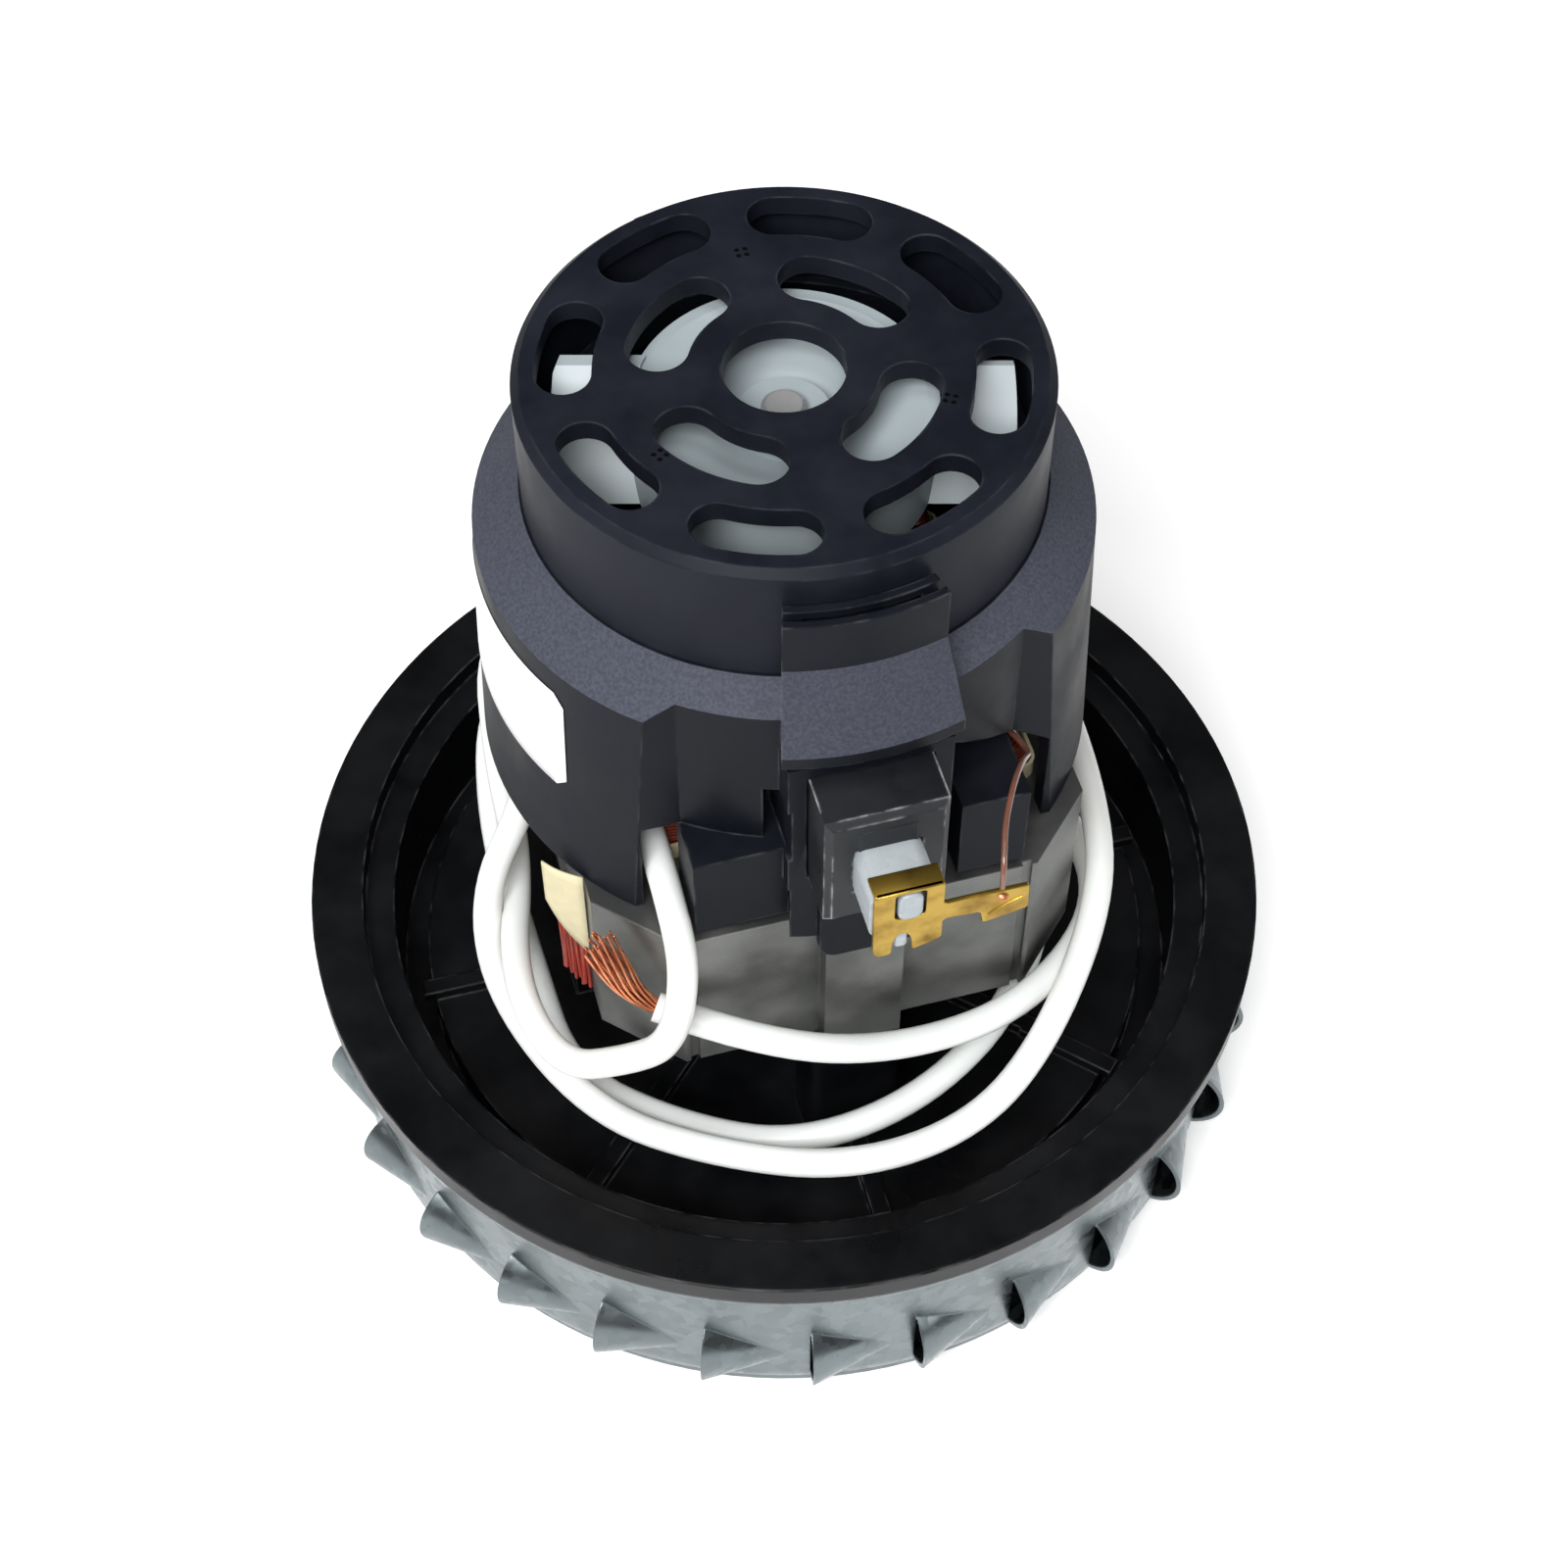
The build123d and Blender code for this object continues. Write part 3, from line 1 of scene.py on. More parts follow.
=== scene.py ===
"""Looks of the vacuum motor unit: finishes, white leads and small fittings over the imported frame."""
import bmesh
import bpy
import random
from math import cos, pi, radians, sin
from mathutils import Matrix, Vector


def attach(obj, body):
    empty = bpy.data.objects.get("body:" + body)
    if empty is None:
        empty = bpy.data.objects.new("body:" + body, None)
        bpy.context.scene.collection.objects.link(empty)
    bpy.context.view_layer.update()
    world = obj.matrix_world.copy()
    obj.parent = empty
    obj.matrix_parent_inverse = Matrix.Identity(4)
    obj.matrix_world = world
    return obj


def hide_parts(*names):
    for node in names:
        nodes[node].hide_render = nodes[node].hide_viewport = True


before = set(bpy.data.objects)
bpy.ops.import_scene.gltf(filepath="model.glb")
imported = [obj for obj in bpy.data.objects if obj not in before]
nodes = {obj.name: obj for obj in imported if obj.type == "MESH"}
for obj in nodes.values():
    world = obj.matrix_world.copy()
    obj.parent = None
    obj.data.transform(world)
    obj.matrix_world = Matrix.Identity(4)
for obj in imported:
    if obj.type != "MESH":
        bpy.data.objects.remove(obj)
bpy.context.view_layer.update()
random.seed(7)

MM = 0.001
HEAD_TURN = radians(15.5)        # turn of the motor head's brush axis round the shaft
SIDES = (("front", 1), ("rear", -1))

# Camera at the photograph's viewing angle
CAMERA_LENS = 64.15
CAMERA_PLACE = (0, -0.22085, 0.35101)
CAMERA_ELEVATION = 53.53

# White leads and their bare ends, in the motor head's own frame
LEAD_RADIUS = 0.00185
SHORT_LEAD = (
    (-22.6, 21.3, 78.6), (-22.6, 33.5, 78.6), (-23.0, 39.8, 73.5), (-25.6, 42.0, 64.0), (-30.0, 38.7, 57.0),
    (-38.4, 35.2, 53.0), (-41.5, 21.0, 53.0), (-36.2, 0.7, 50.0), (-36.0, -14.0, 53.0), (-33.0, -34.5, 54.0),
    (-15.0, -43.5, 55.0), (2.0, -43.0, 55.5), (22.0, -43.5, 55.5), (36.3, -30.0, 54.5), (34.4, -10.0, 51.5),
    (34.6, 8.0, 48.5), (37.5, 25.0, 47.0), (22.0, 39.3, 48.8), (3.9, 42.9, 51.0), (-13.7, 42.4, 58.5),
    (-25.9, 35.1, 61.8),
)
LONG_LEAD = (
    (-16.0, 18.5, 81.4), (-16.0, 18.5, 88.5), (-21.5, 13.5, 94.0), (-29.3, 6.5, 91.5), (-32.8, 2.2, 83.0),
    (-33.8, 1.0, 64.0), (-42.7, 8.5, 55.0), (-42.9, 15.8, 41.0), (-35.0, 34.9, 40.0), (-21.4, 44.6, 39.5),
    (-5.3, 51.2, 39.5), (11.0, 50.4, 41.0), (22.2, 44.8, 48.5), (34.2, 30.0, 55.5), (37.6, 15.0, 57.5),
    (39.8, -8.0, 54.0), (39.6, -26.0, 47.5), (22.0, -43.5, 46.0), (2.0, -42.5, 46.0), (-17.0, -43.0, 46.0),
    (-34.0, -31.0, 46.0), (-38.6, -10.0, 43.5), (-37.4, 9.0, 38.0), (-36.3, 25.2, 34.5), (-24.6, 36.1, 34.0),
    (-10.2, 43.5, 34.0), (7.4, 42.0, 36.0), (22.6, 33.3, 40.0), (33.5, 14.0, 41.5), (34.0, -8.0, 41.0),
    (26.0, -27.0, 40.5),
)
FRONT_STRANDS = ((-25.9, 35.1, 61.8), (-28.2, 33.9, 63.6), (-31.9, 30.0, 71.2))
REAR_STRANDS = ((26.0, -27.0, 40.5), (24.3, -31.1, 40.4), (19.5, -37.5, 40.2))
STRAND_COUNT = 20
STRAND_INNER_RING = 6
STRAND_RADIUS = 0.00019
STRAND_BUNDLE = 0.00085          # reach of the outer strands from the middle of a bundle
STRAND_TWIST = 1.3               # radians from root to tip
STRAND_FAN = (0.75, 1.25)        # least and most share of the splay that a strand takes
STRAND_SLIP = (-0.12, 0.1)       # how far a cut tip lies behind or before the others, as a share of the bare end

# Label, in degrees round the shaft and millimetres of height
LABEL_START, LABEL_END, LABEL_LOW, LABEL_HIGH, LABEL_CORNER = -178.0, -132.6, 88.2, 104.6, 1.6
LABEL_COLUMNS, LABEL_ROWS = 24, 10
LABEL_LAYERS = (0.06, 0.16)      # its two faces over the housing's wall
DEGREES_PER_MM = 1.55
WALL_RADIUS, WALL_FOOT, WALL_LEAN, WALL_RISE = 38.0, 73.0, 1.55, 35.1

# Side paper and the coil wires behind its low edge, in millimetres
PAPER_COLUMNS, PAPER_ROWS = 8, 8
PAPER_LAYERS = (0.0, 0.25)
PAPER_EDGE_ACROSS, PAPER_EDGE_OUT = -31.35, 22.5
PAPER_REACH_ACROSS, PAPER_REACH_OUT = 4.2, 3.8
PAPER_TOP, PAPER_LOW, PAPER_RISE, PAPER_BOW, PAPER_SLANT = 74.0, 57.5, 8.5, 0.5, 0.7
COIL_SIDE_WIRES = (              # lean outward, height of the low end
    (0.0, 46.7), (0.41, 47.9), (0.66, 47.1), (1.12, 48.9), (1.46, 48.0), (1.83, 49.7), (2.14, 48.8), (2.55, 50.4),
    (2.86, 49.9),
)
COIL_WIRE_HEIGHTS = (53.0, 60.0, 66.5)
COIL_WIRE_ACROSS, COIL_WIRE_OUT, COIL_WIRE_SWAY = -31.6, 20.6, 0.13
COIL_WIRE_RADIUS = 0.00026

# Brush gear. A box with round corners is left, right, low, high and corner radius, in millimetres seen along the
# brush axis. A reach is where a piece starts and ends along that axis.
TUBE_OUTER, TUBE_INNER, TUBE_REACH = (-4.05, 4.05, 89.75, 97.65, 1.5), (-3.45, 3.45, 90.35, 97.05, 0.9), (14.6, 50.0)
TAB, TAB_REACH = (-0.95, 1.95, 93.0, 97.5, 1.1), (49.7, 50.8)
STUB, STUB_REACH = (-1.0, 0.5, 86.8, 89.75, 0.5), (49.5, 50.1)
END_PLATE, END_PLATE_REACH = (-3.4, 3.4, 90.4, 97.0, 0.8), (49.3, 49.8)
CAP_WINDOW, CAP_FACE_REACH = (-1.3, 2.3, 93.2, 97.8, 0.5), (50.0, 50.6)
CAP_ROOF, CAP_ROOF_REACH = (-3.7, 4.4, 97.65, 98.25, 0.12), (47.6, 50.5)
CAP_FACE = (
    (-3.4, 98.25), (4.1, 98.25), (4.4, 97.9), (4.4, 94.4), (4.8, 94.2), (8.1, 94.2), (14.2, 94.05), (14.4, 93.8),
    (14.5, 90.0), (14.2, 89.6), (9.5, 88.6), (9.1, 88.8), (8.8, 90.6), (8.4, 90.9), (4.8, 91.2), (4.4, 90.8),
    (4.4, 87.9), (4.1, 87.5), (1.2, 86.5), (0.9, 86.7), (0.85, 88.2), (0.6, 89.3), (0.1, 90.1), (-0.5, 90.2),
    (-1.1, 89.6), (-1.4, 88.4), (-1.5, 86.7), (-1.8, 86.4), (-3.1, 86.4), (-3.5, 86.9), (-3.7, 87.8), (-3.7, 97.9),
)
CREASE, CREASE_OUT, CREASE_RADIUS = ((9.8, 90.1), (11.4, 91.4), (13.7, 92.2)), 50.62, 0.00014
FILLER_HALF, FILLER_CORNER, FILLER_REACH = 3.4, 0.1, (43.3, 43.54)
FILLERS = (("upper", 97.2, 100.8), ("lower", 86.6, 90.2))
SOLDER_RADIUS, SOLDER_FLATTEN = 0.0008, 0.6
SOLDER_ACROSS, SOLDER_OUT, SOLDER_HEIGHT = 11.25, 50.3, 93.0

LIGHT_AIM = (0, 0, 0.05)

# Mould marks: places and sizes of the small dots on the cover's top, in metres
MARK_REACH, MARK_TURN, MARK_HALF_PITCH = 0.0189, -0.2635, 0.00048
MARK_EDGE, MARK_FLAT = 0.00034, 0.0002
COVER_TOP = 0.1296


def spot(across, out, height):
    """A point of the motor head: across, out along the brush axis, and height, all in millimetres."""
    return Vector((
        across * cos(HEAD_TURN) + out * sin(HEAD_TURN),
        across * sin(HEAD_TURN) - out * cos(HEAD_TURN),
        height,
    )) * MM


def placed_object(name, data):
    """A new object in the scene."""
    made = bpy.data.objects.new(name, data)
    bpy.context.collection.objects.link(made)
    return made


camera_data = bpy.data.cameras.new("camera")
camera_data.lens = CAMERA_LENS
camera_data.sensor_width = 36
camera = placed_object("camera", camera_data)
camera.location = CAMERA_PLACE
camera.rotation_euler = (radians(90 - CAMERA_ELEVATION), 0, 0)
bpy.context.scene.camera = camera
bpy.context.scene.view_settings.view_transform = "Standard"


# Shader tools
def material(name, colour, roughness, metallic=0.0, **more):
    """A material with its Principled BSDF set, ready for its surface detail."""
    made = bpy.data.materials.new(name)
    made.use_nodes = True
    shader = made.node_tree.nodes["Principled BSDF"]
    shader.inputs["Base Color"].default_value = (*colour, 1)
    shader.inputs["Roughness"].default_value = roughness
    shader.inputs["Metallic"].default_value = metallic
    for socket, value in more.items():
        shader.inputs[socket.replace("_", " ")].default_value = value
    return made


def feed(made, **sources):
    """Link what changes over the surface into sockets of a material's Principled BSDF."""
    tree = made.node_tree
    for socket, source in sources.items():
        tree.links.new(source, tree.nodes["Principled BSDF"].inputs[socket.replace("_", " ")])


def group(name, inputs, outputs):
    """An empty shader node group with its number sockets, and its two end nodes."""
    tree = bpy.data.node_groups.new(name, "ShaderNodeTree")
    for label, value in inputs.items():
        tree.interface.new_socket(label, in_out="INPUT", socket_type="NodeSocketFloat").default_value = value
    for label in outputs:
        tree.interface.new_socket(label, in_out="OUTPUT", socket_type="NodeSocketFloat")
    return tree, tree.nodes.new("NodeGroupInput"), tree.nodes.new("NodeGroupOutput")


def add(tree, kind, links=(), **settings):
    """A node in a tree, with its settings and what feeds its sockets: a value or another node's output."""
    made = tree.nodes.new(kind)
    for key, value in settings.items():
        setattr(made, key, value)
    for socket, source in links:
        if isinstance(source, bpy.types.NodeSocket):
            tree.links.new(source, made.inputs[socket])
        else:
            made.inputs[socket].default_value = source
    return made


def placed(made, effect, **values):
    """One of the groups below, placed in a material with its own values."""
    return add(made.node_tree, "ShaderNodeGroup", values.items(), node_tree=effect).outputs


def maths(tree, operation, first, second=0.0, clamp=False):
    return add(tree, "ShaderNodeMath", [(0, first), (1, second)], operation=operation, use_clamp=clamp).outputs[0]


def length(tree, first, second):
    """Length of a flat vector from its two parts."""
    squares = [maths(tree, "MULTIPLY", part, part) for part in (first, second)]
    return maths(tree, "SQRT", maths(tree, "ADD", *squares))


def ramp(tree, value, low, high, first=0.0, last=1.0):
    return add(
        tree, "ShaderNodeMapRange",
        [("Value", value), ("From Min", first), ("From Max", last), ("To Min", low), ("To Max", high)],
    ).outputs["Result"]


def surface_place(tree):
    return add(tree, "ShaderNodeTexCoord").outputs["Object"]


def noise(tree, scale, detail, roughness=0.5):
    """Noise that stays where it is on the piece."""
    return add(
        tree, "ShaderNodeTexNoise",
        [("Vector", surface_place(tree)), ("Scale", scale), ("Detail", detail), ("Roughness", roughness)],
    ).outputs


def ridges(tree, along, pitch):
    """Round ridges that follow each other at a pitch."""
    return maths(tree, "ABSOLUTE", maths(tree, "SINE", maths(tree, "MULTIPLY", along, pi / pitch)))


def mix_colour(tree, mask, low, high):
    blend = add(tree, "ShaderNodeMix", data_type="RGBA")
    tree.links.new(mask, blend.inputs["Factor"])
    for socket, value in (("A", low), ("B", high)):
        target = next(s for s in blend.inputs if s.name == socket and s.type == "RGBA")
        if isinstance(value, bpy.types.NodeSocket):
            tree.links.new(value, target)
        else:
            target.default_value = (*value, 1)
    return next(s for s in blend.outputs if s.type == "RGBA")


def soft_corner(tree, radius):
    return add(tree, "ShaderNodeBevel", [("Radius", radius)], samples=6).outputs["Normal"]


def bump(tree, height, strength, distance, normal=None):
    made = add(tree, "ShaderNodeBump", [("Height", height), ("Strength", strength), ("Distance", distance)])
    if normal is not None:
        tree.links.new(normal, made.inputs["Normal"])
    return made.outputs["Normal"]


# Grain: the fine spark-eroded skin of a moulding, as a height and a soft mottle
grain, given, gives = group("moulding grain", {"Size": 0.3}, ("Height", "Mottle"))
frequency = maths(grain, "DIVIDE", 1000.0, given.outputs["Size"])
grain.links.new(noise(grain, frequency, 3.0)["Fac"], gives.inputs["Height"])
grain.links.new(noise(grain, 70.0, 4.0, 0.6)["Fac"], gives.inputs["Mottle"])

# Edge mask for scuffed edges and for the painted highlight along the cover's rim: where a rounded normal leaves the
# flat one, broken up by noise
wear_and_highlight, given, gives = group("edge wear", {"Width": 0.0006, "Amount": 1.0, "Break": 300.0}, ("Mask",))
flat = add(wear_and_highlight, "ShaderNodeNewGeometry").outputs["True Normal"]
along = add(
    wear_and_highlight, "ShaderNodeVectorMath", [(0, soft_corner(wear_and_highlight, given.outputs["Width"])), (1, flat)], operation="DOT_PRODUCT",
)
edge = maths(wear_and_highlight, "MULTIPLY", maths(wear_and_highlight, "SUBTRACT", 1.0, along.outputs["Value"], True), 6.0, True)
torn = ramp(wear_and_highlight, noise(wear_and_highlight, given.outputs["Break"], 5.0)["Fac"], 0.0, 1.0, 0.45, 0.62)
worn_and_highlit_edge = maths(wear_and_highlight, "MULTIPLY", maths(wear_and_highlight, "MULTIPLY", edge, torn), given.outputs["Amount"], True)
wear_and_highlight.links.new(worn_and_highlit_edge, gives.inputs["Mask"])

# Slanted faces: those that neither stand upright nor lie level
slanted, given, gives = group("slanted faces", {}, ("Mask",))
facing = add(slanted, "ShaderNodeSeparateXYZ", [("Vector", add(slanted, "ShaderNodeNewGeometry").outputs["Normal"])])
leaning = ramp(slanted, facing.outputs["Z"], 0.0, 1.0, 0.2, 0.45)
not_level = ramp(slanted, facing.outputs["Z"], 0.0, 1.0, 0.97, 0.9)
slanted.links.new(maths(slanted, "MULTIPLY", leaning, not_level), gives.inputs["Mask"])

# Mould marks: four small dots in a square, three times round the cover's top
marks, given, gives = group("mould marks", {"Reach": MARK_REACH, "Turn": MARK_TURN}, ("Mask",))
flat = add(marks, "ShaderNodeSeparateXYZ", [("Vector", surface_place(marks))]).outputs
third = 2 * pi / 3
bearing = maths(marks, "SUBTRACT", maths(marks, "ARCTAN2", flat["Y"], flat["X"]), given.outputs["Turn"])
turns = maths(marks, "FRACT", maths(marks, "ADD", maths(marks, "DIVIDE", bearing, third), 5.5))
bearing = maths(marks, "MULTIPLY", maths(marks, "SUBTRACT", turns, 0.5), third)
distance = length(marks, flat["X"], flat["Y"])
sideways = maths(marks, "ABSOLUTE", maths(marks, "MULTIPLY", distance, maths(marks, "SINE", bearing)))
outward = maths(marks, "ABSOLUTE", maths(marks, "SUBTRACT", distance, given.outputs["Reach"]))
sideways = maths(marks, "SUBTRACT", sideways, MARK_HALF_PITCH)
outward = maths(marks, "SUBTRACT", outward, MARK_HALF_PITCH)
dots = ramp(marks, length(marks, sideways, outward), 0.0, 1.0, MARK_EDGE, MARK_FLAT)
top_only = maths(marks, "GREATER_THAN", flat["Z"], COVER_TOP)
marks.links.new(maths(marks, "MULTIPLY", dots, top_only), gives.inputs["Mask"])

# Spangle: the mottled crystals of zinc on galvanised steel
spangle, given, gives = group("zinc spangle", {"Size": 2.5}, ("Shade", "Streak"))
frequency = maths(spangle, "DIVIDE", 1000.0, given.outputs["Size"])
shifted = add(
    spangle, "ShaderNodeVectorMath", [(0, noise(spangle, frequency, 2.0)["Color"]), (1, (0.0012, 0.0012, 0.0012))],
    operation="MULTIPLY",
)
moved = add(
    spangle, "ShaderNodeVectorMath", [(0, surface_place(spangle)), (1, shifted.outputs["Vector"])], operation="ADD",
)
cells = add(spangle, "ShaderNodeTexVoronoi", [("Vector", moved.outputs["Vector"]), ("Scale", frequency)])
shade = add(spangle, "ShaderNodeSeparateColor", [("Color", cells.outputs["Color"])])
spangle.links.new(shade.outputs[0], gives.inputs["Shade"])
spangle.links.new(noise(spangle, 45.0, 6.0)["Fac"], gives.inputs["Streak"])


# Finishes
def moulded(
    name, colour, worn_and_highlight, roughness, grain_size, grain_depth, wear_and_highlight_amount, specular, frost_and_lit_slant=None, edge_round=0.0003,
):
    """Moulded plastic: a grained skin with soft corners, pale along its edges where they are scuffed, and along the
    cover's rim with a painted highlight.

    Its slanted faces take a paler colour: partly their coarser skin, partly painted light where they catch the lamps
    from above.
    """
    made = material(name, colour, roughness, Specular_IOR_Level=specular)
    tree = made.node_tree
    skin = placed(made, grain, Size=grain_size)
    rubbed_and_highlit = placed(made, wear_and_highlight, Width=0.0005, Amount=wear_and_highlight_amount, Break=260.0)
    lighter = tuple(c * 1.5 + 0.002 for c in colour)
    base = mix_colour(tree, ramp(tree, skin["Mottle"], 0.0, 1.0, 0.4, 0.65), colour, lighter)
    rough = ramp(tree, skin["Mottle"], roughness - 0.06, roughness + 0.1, 0.35, 0.65)
    # Slanted faces turn paler: partly coarser skin, partly painted light from above.
    if frost_and_lit_slant:
        slant = placed(made, slanted)["Mask"]
        frost_and_lit_speck = maths(tree, "MULTIPLY", slant, ramp(tree, skin["Height"], 0.65, 1.0, 0.35, 0.65))
        base = mix_colour(tree, frost_and_lit_speck, base, frost_and_lit_slant)
        rough = maths(tree, "ADD", rough, maths(tree, "MULTIPLY", slant, 0.16))
    # The edge colour is scuffing on most parts and a painted highlight along the cover's rim.
    feed(
        made, Base_Color=mix_colour(tree, rubbed_and_highlit["Mask"], base, worn_and_highlight), Roughness=rough,
        Normal=bump(tree, skin["Height"], 0.5, grain_depth, soft_corner(tree, edge_round)),
    )
    return made


def galvanised(name, dark, light, size, roughness, depth, metallic=1.0):
    """Zinc-coated sheet: a cold grey spangle with soft streaks."""
    made = material(name, light, roughness, metallic)
    tree = made.node_tree
    crystals = placed(made, spangle, Size=size)
    part, rest = maths(tree, "MULTIPLY", crystals["Shade"], 0.45), maths(tree, "MULTIPLY", crystals["Streak"], 0.55)
    both = maths(tree, "ADD", part, rest)
    feed(
        made, Base_Color=mix_colour(tree, ramp(tree, both, 0.0, 1.0, 0.2, 0.8), dark, light),
        Roughness=ramp(tree, both, roughness + 0.14, roughness - 0.05, 0.2, 0.8),
        Normal=bump(tree, crystals["Streak"], 0.4, depth, soft_corner(tree, 0.0003)),
    )
    return made


def metal(name, colour, stain, roughness, scale=120.0, metallic=1.0):
    """Worked metal with stains and fine handling marks."""
    made = material(name, colour, roughness, metallic)
    tree = made.node_tree
    patches = noise(tree, scale, 6.0)["Fac"]
    feed(
        made, Base_Color=mix_colour(tree, ramp(tree, patches, 0.0, 1.0, 0.4, 0.7), colour, stain),
        Roughness=ramp(tree, patches, roughness - 0.08, roughness + 0.15, 0.35, 0.7),
        Normal=bump(tree, patches, 0.3, 0.00002, soft_corner(tree, 0.0002)),
    )
    return made


def plain(name, colour, roughness, scale=200.0, depth=0.00002, spread=0.12, **more):
    """Soft or fibrous skin: lead insulation, paper, label stock or resin."""
    made = material(name, colour, roughness, **more)
    tree = made.node_tree
    patches = noise(tree, scale, 4.0)["Fac"]
    darker = tuple(c * (1 - spread) for c in colour)
    feed(
        made, Base_Color=mix_colour(tree, ramp(tree, patches, 0.0, 1.0, 0.35, 0.7), colour, darker),
        Normal=bump(tree, patches, 0.3, depth),
    )
    return made


def laminated(name, dark, light):
    """Stacked steel sheets: fine level lines on the cut faces, with patches of thin rust-grey oxide."""
    made = material(name, light, 0.42, 0.85)
    tree = made.node_tree
    height = add(tree, "ShaderNodeSeparateXYZ", [("Vector", surface_place(tree))]).outputs["Z"]
    sheets = ridges(tree, height, 0.0005)
    patches = noise(tree, 90.0, 6.0)["Fac"]
    shade = maths(tree, "ADD", maths(tree, "MULTIPLY", sheets, 0.1), maths(tree, "MULTIPLY", patches, 0.75))
    feed(
        made, Base_Color=mix_colour(tree, ramp(tree, shade, 0.0, 1.0, 0.35, 0.8), dark, light),
        Roughness=ramp(tree, patches, 0.34, 0.55, 0.4, 0.65),
        Normal=bump(tree, sheets, 0.12, 0.00003, soft_corner(tree, 0.0003)),
    )
    return made


def wound(name, colour, glint):
    """Enamelled wire laid side by side: rows of round ridges that run level, their crests lit by a painted highlight in
    the glint colour.
    """
    made = material(name, colour, 0.3, 0.35, Coat_Weight=0.6)
    tree = made.node_tree
    height = add(tree, "ShaderNodeSeparateXYZ", [("Vector", surface_place(tree))]).outputs["Z"]
    wander = maths(tree, "ADD", height, maths(tree, "MULTIPLY", noise(tree, 150.0, 2.0)["Fac"], 0.0004))
    rows = ridges(tree, wander, 0.0006)
    feed(
        # The glint colour on each row's crest is a painted highlight.
        made, Base_Color=mix_colour(tree, ramp(tree, rows, 0.0, 1.0, 0.2, 1.0), colour, glint),
        Normal=bump(tree, rows, 0.8, 0.0002),
    )
    return made


# The housing's paler slanted shoulder is partly coarser skin and partly painted light from above.
black_housing = moulded(
    "housing black", (0.004, 0.005, 0.008), worn_and_highlight=(0.16, 0.16, 0.17), roughness=0.46, grain_size=0.4,
    grain_depth=0.00003, wear_and_highlight_amount=0.3, specular=0.1, frost_and_lit_slant=(0.062, 0.066, 0.088),
)
# The cover's pale edge colour is a painted highlight: the thin light line along its rim.
black_cover = moulded(
    "cover black", (0.007, 0.008, 0.013), worn_and_highlight=(0.07, 0.08, 0.09), roughness=0.42, grain_size=0.25,
    grain_depth=0.000012, wear_and_highlight_amount=0.4, specular=0.08,
)
black_dish = moulded(
    "dish black", (0.0015, 0.0018, 0.0024), worn_and_highlight=(0.10, 0.10, 0.11), roughness=0.32, grain_size=0.5,
    grain_depth=0.000015, wear_and_highlight_amount=0.7, specular=0.18, edge_round=0.0006,
)
holder_black = moulded(
    "holder black", (0.005, 0.006, 0.008), worn_and_highlight=(0.5, 0.5, 0.5), roughness=0.42, grain_size=0.3,
    grain_depth=0.00003, wear_and_highlight_amount=1.0, specular=0.3, frost_and_lit_slant=(0.012, 0.013, 0.016),
)
filler_black = moulded(
    "filler black", (0.005, 0.006, 0.008), worn_and_highlight=(0.012, 0.013, 0.016), roughness=0.42, grain_size=0.3,
    grain_depth=0.00003, wear_and_highlight_amount=0.1, specular=0.3,
)
pan_zinc = galvanised("pan zinc", (0.15, 0.175, 0.182), (0.172, 0.2, 0.208), 1.6, 0.28, 0.00001)
box_zinc = galvanised("box zinc", (0.34, 0.375, 0.395), (0.42, 0.46, 0.48), 1.2, 0.5, 0.00002, 0.45)
stack_steel = laminated("lamination steel", (0.13, 0.135, 0.13), (0.34, 0.345, 0.335))
brass = metal("brass", (0.42, 0.275, 0.05), (0.22, 0.13, 0.02), 0.36, 300.0)
bearing_steel = metal("bearing steel", (0.5, 0.5, 0.5), (0.35, 0.35, 0.36), 0.34, metallic=0.6)
screw_zinc = metal("screw zinc", (0.52, 0.52, 0.50), (0.30, 0.30, 0.28), 0.36)
bare_copper = metal("bare copper", (0.80, 0.33, 0.17), (0.48, 0.16, 0.08), 0.34, 500.0)
commutator_copper = metal("commutator copper", (0.60, 0.28, 0.15), (0.25, 0.12, 0.07), 0.32)
impeller_sheet = metal("impeller sheet", (0.62, 0.62, 0.63), (0.48, 0.48, 0.50), 0.32)
carbon = plain("carbon", (0.02, 0.02, 0.022), 0.5, 500.0)
resin = plain("resin", (0.06, 0.03, 0.018), 0.4)
cream_paper = plain("cream paper", (0.62, 0.56, 0.36), 0.7, 400.0)
label_stock = plain("label stock", (0.88, 0.88, 0.88), 0.4, 150.0, 0.00001, 0.03)
fan_white = plain("fan grey", (0.33, 0.38, 0.40), 0.38, 90.0, 0.00002, 0.1)
lead_white = plain("lead white", (0.80, 0.79, 0.765), 0.36, 120.0, 0.00004, 0.06, Subsurface_Weight=0.1)
wire_enamel = plain("wire enamel", (0.17, 0.07, 0.045), 0.3, 500.0, 0.00001, 0.3, Coat_Weight=0.5)
red_enamel = plain("red enamel", (0.34, 0.035, 0.02), 0.3, 500.0, 0.00001, 0.3, Coat_Weight=0.5)
coil_wire = wound("coil wire", (0.15, 0.02, 0.012), (0.36, 0.07, 0.04))
armature_wire = wound("armature wire", (0.20, 0.06, 0.02), (0.42, 0.15, 0.06))

# The cover's mould marks, slightly sunk, with painted shade darkening their dimples
cover_tree = black_cover.node_tree
cover_sockets = cover_tree.nodes["Principled BSDF"].inputs
cover_base, cover_normal = (cover_sockets[name].links[0].from_socket for name in ("Base Color", "Normal"))
dotted = placed(black_cover, marks)["Mask"]
feed(
    black_cover, Base_Color=mix_colour(cover_tree, dotted, cover_base, (0.001, 0.001, 0.002)),
    Normal=bump(cover_tree, dotted, 1.0, 0.0002, cover_normal),
)

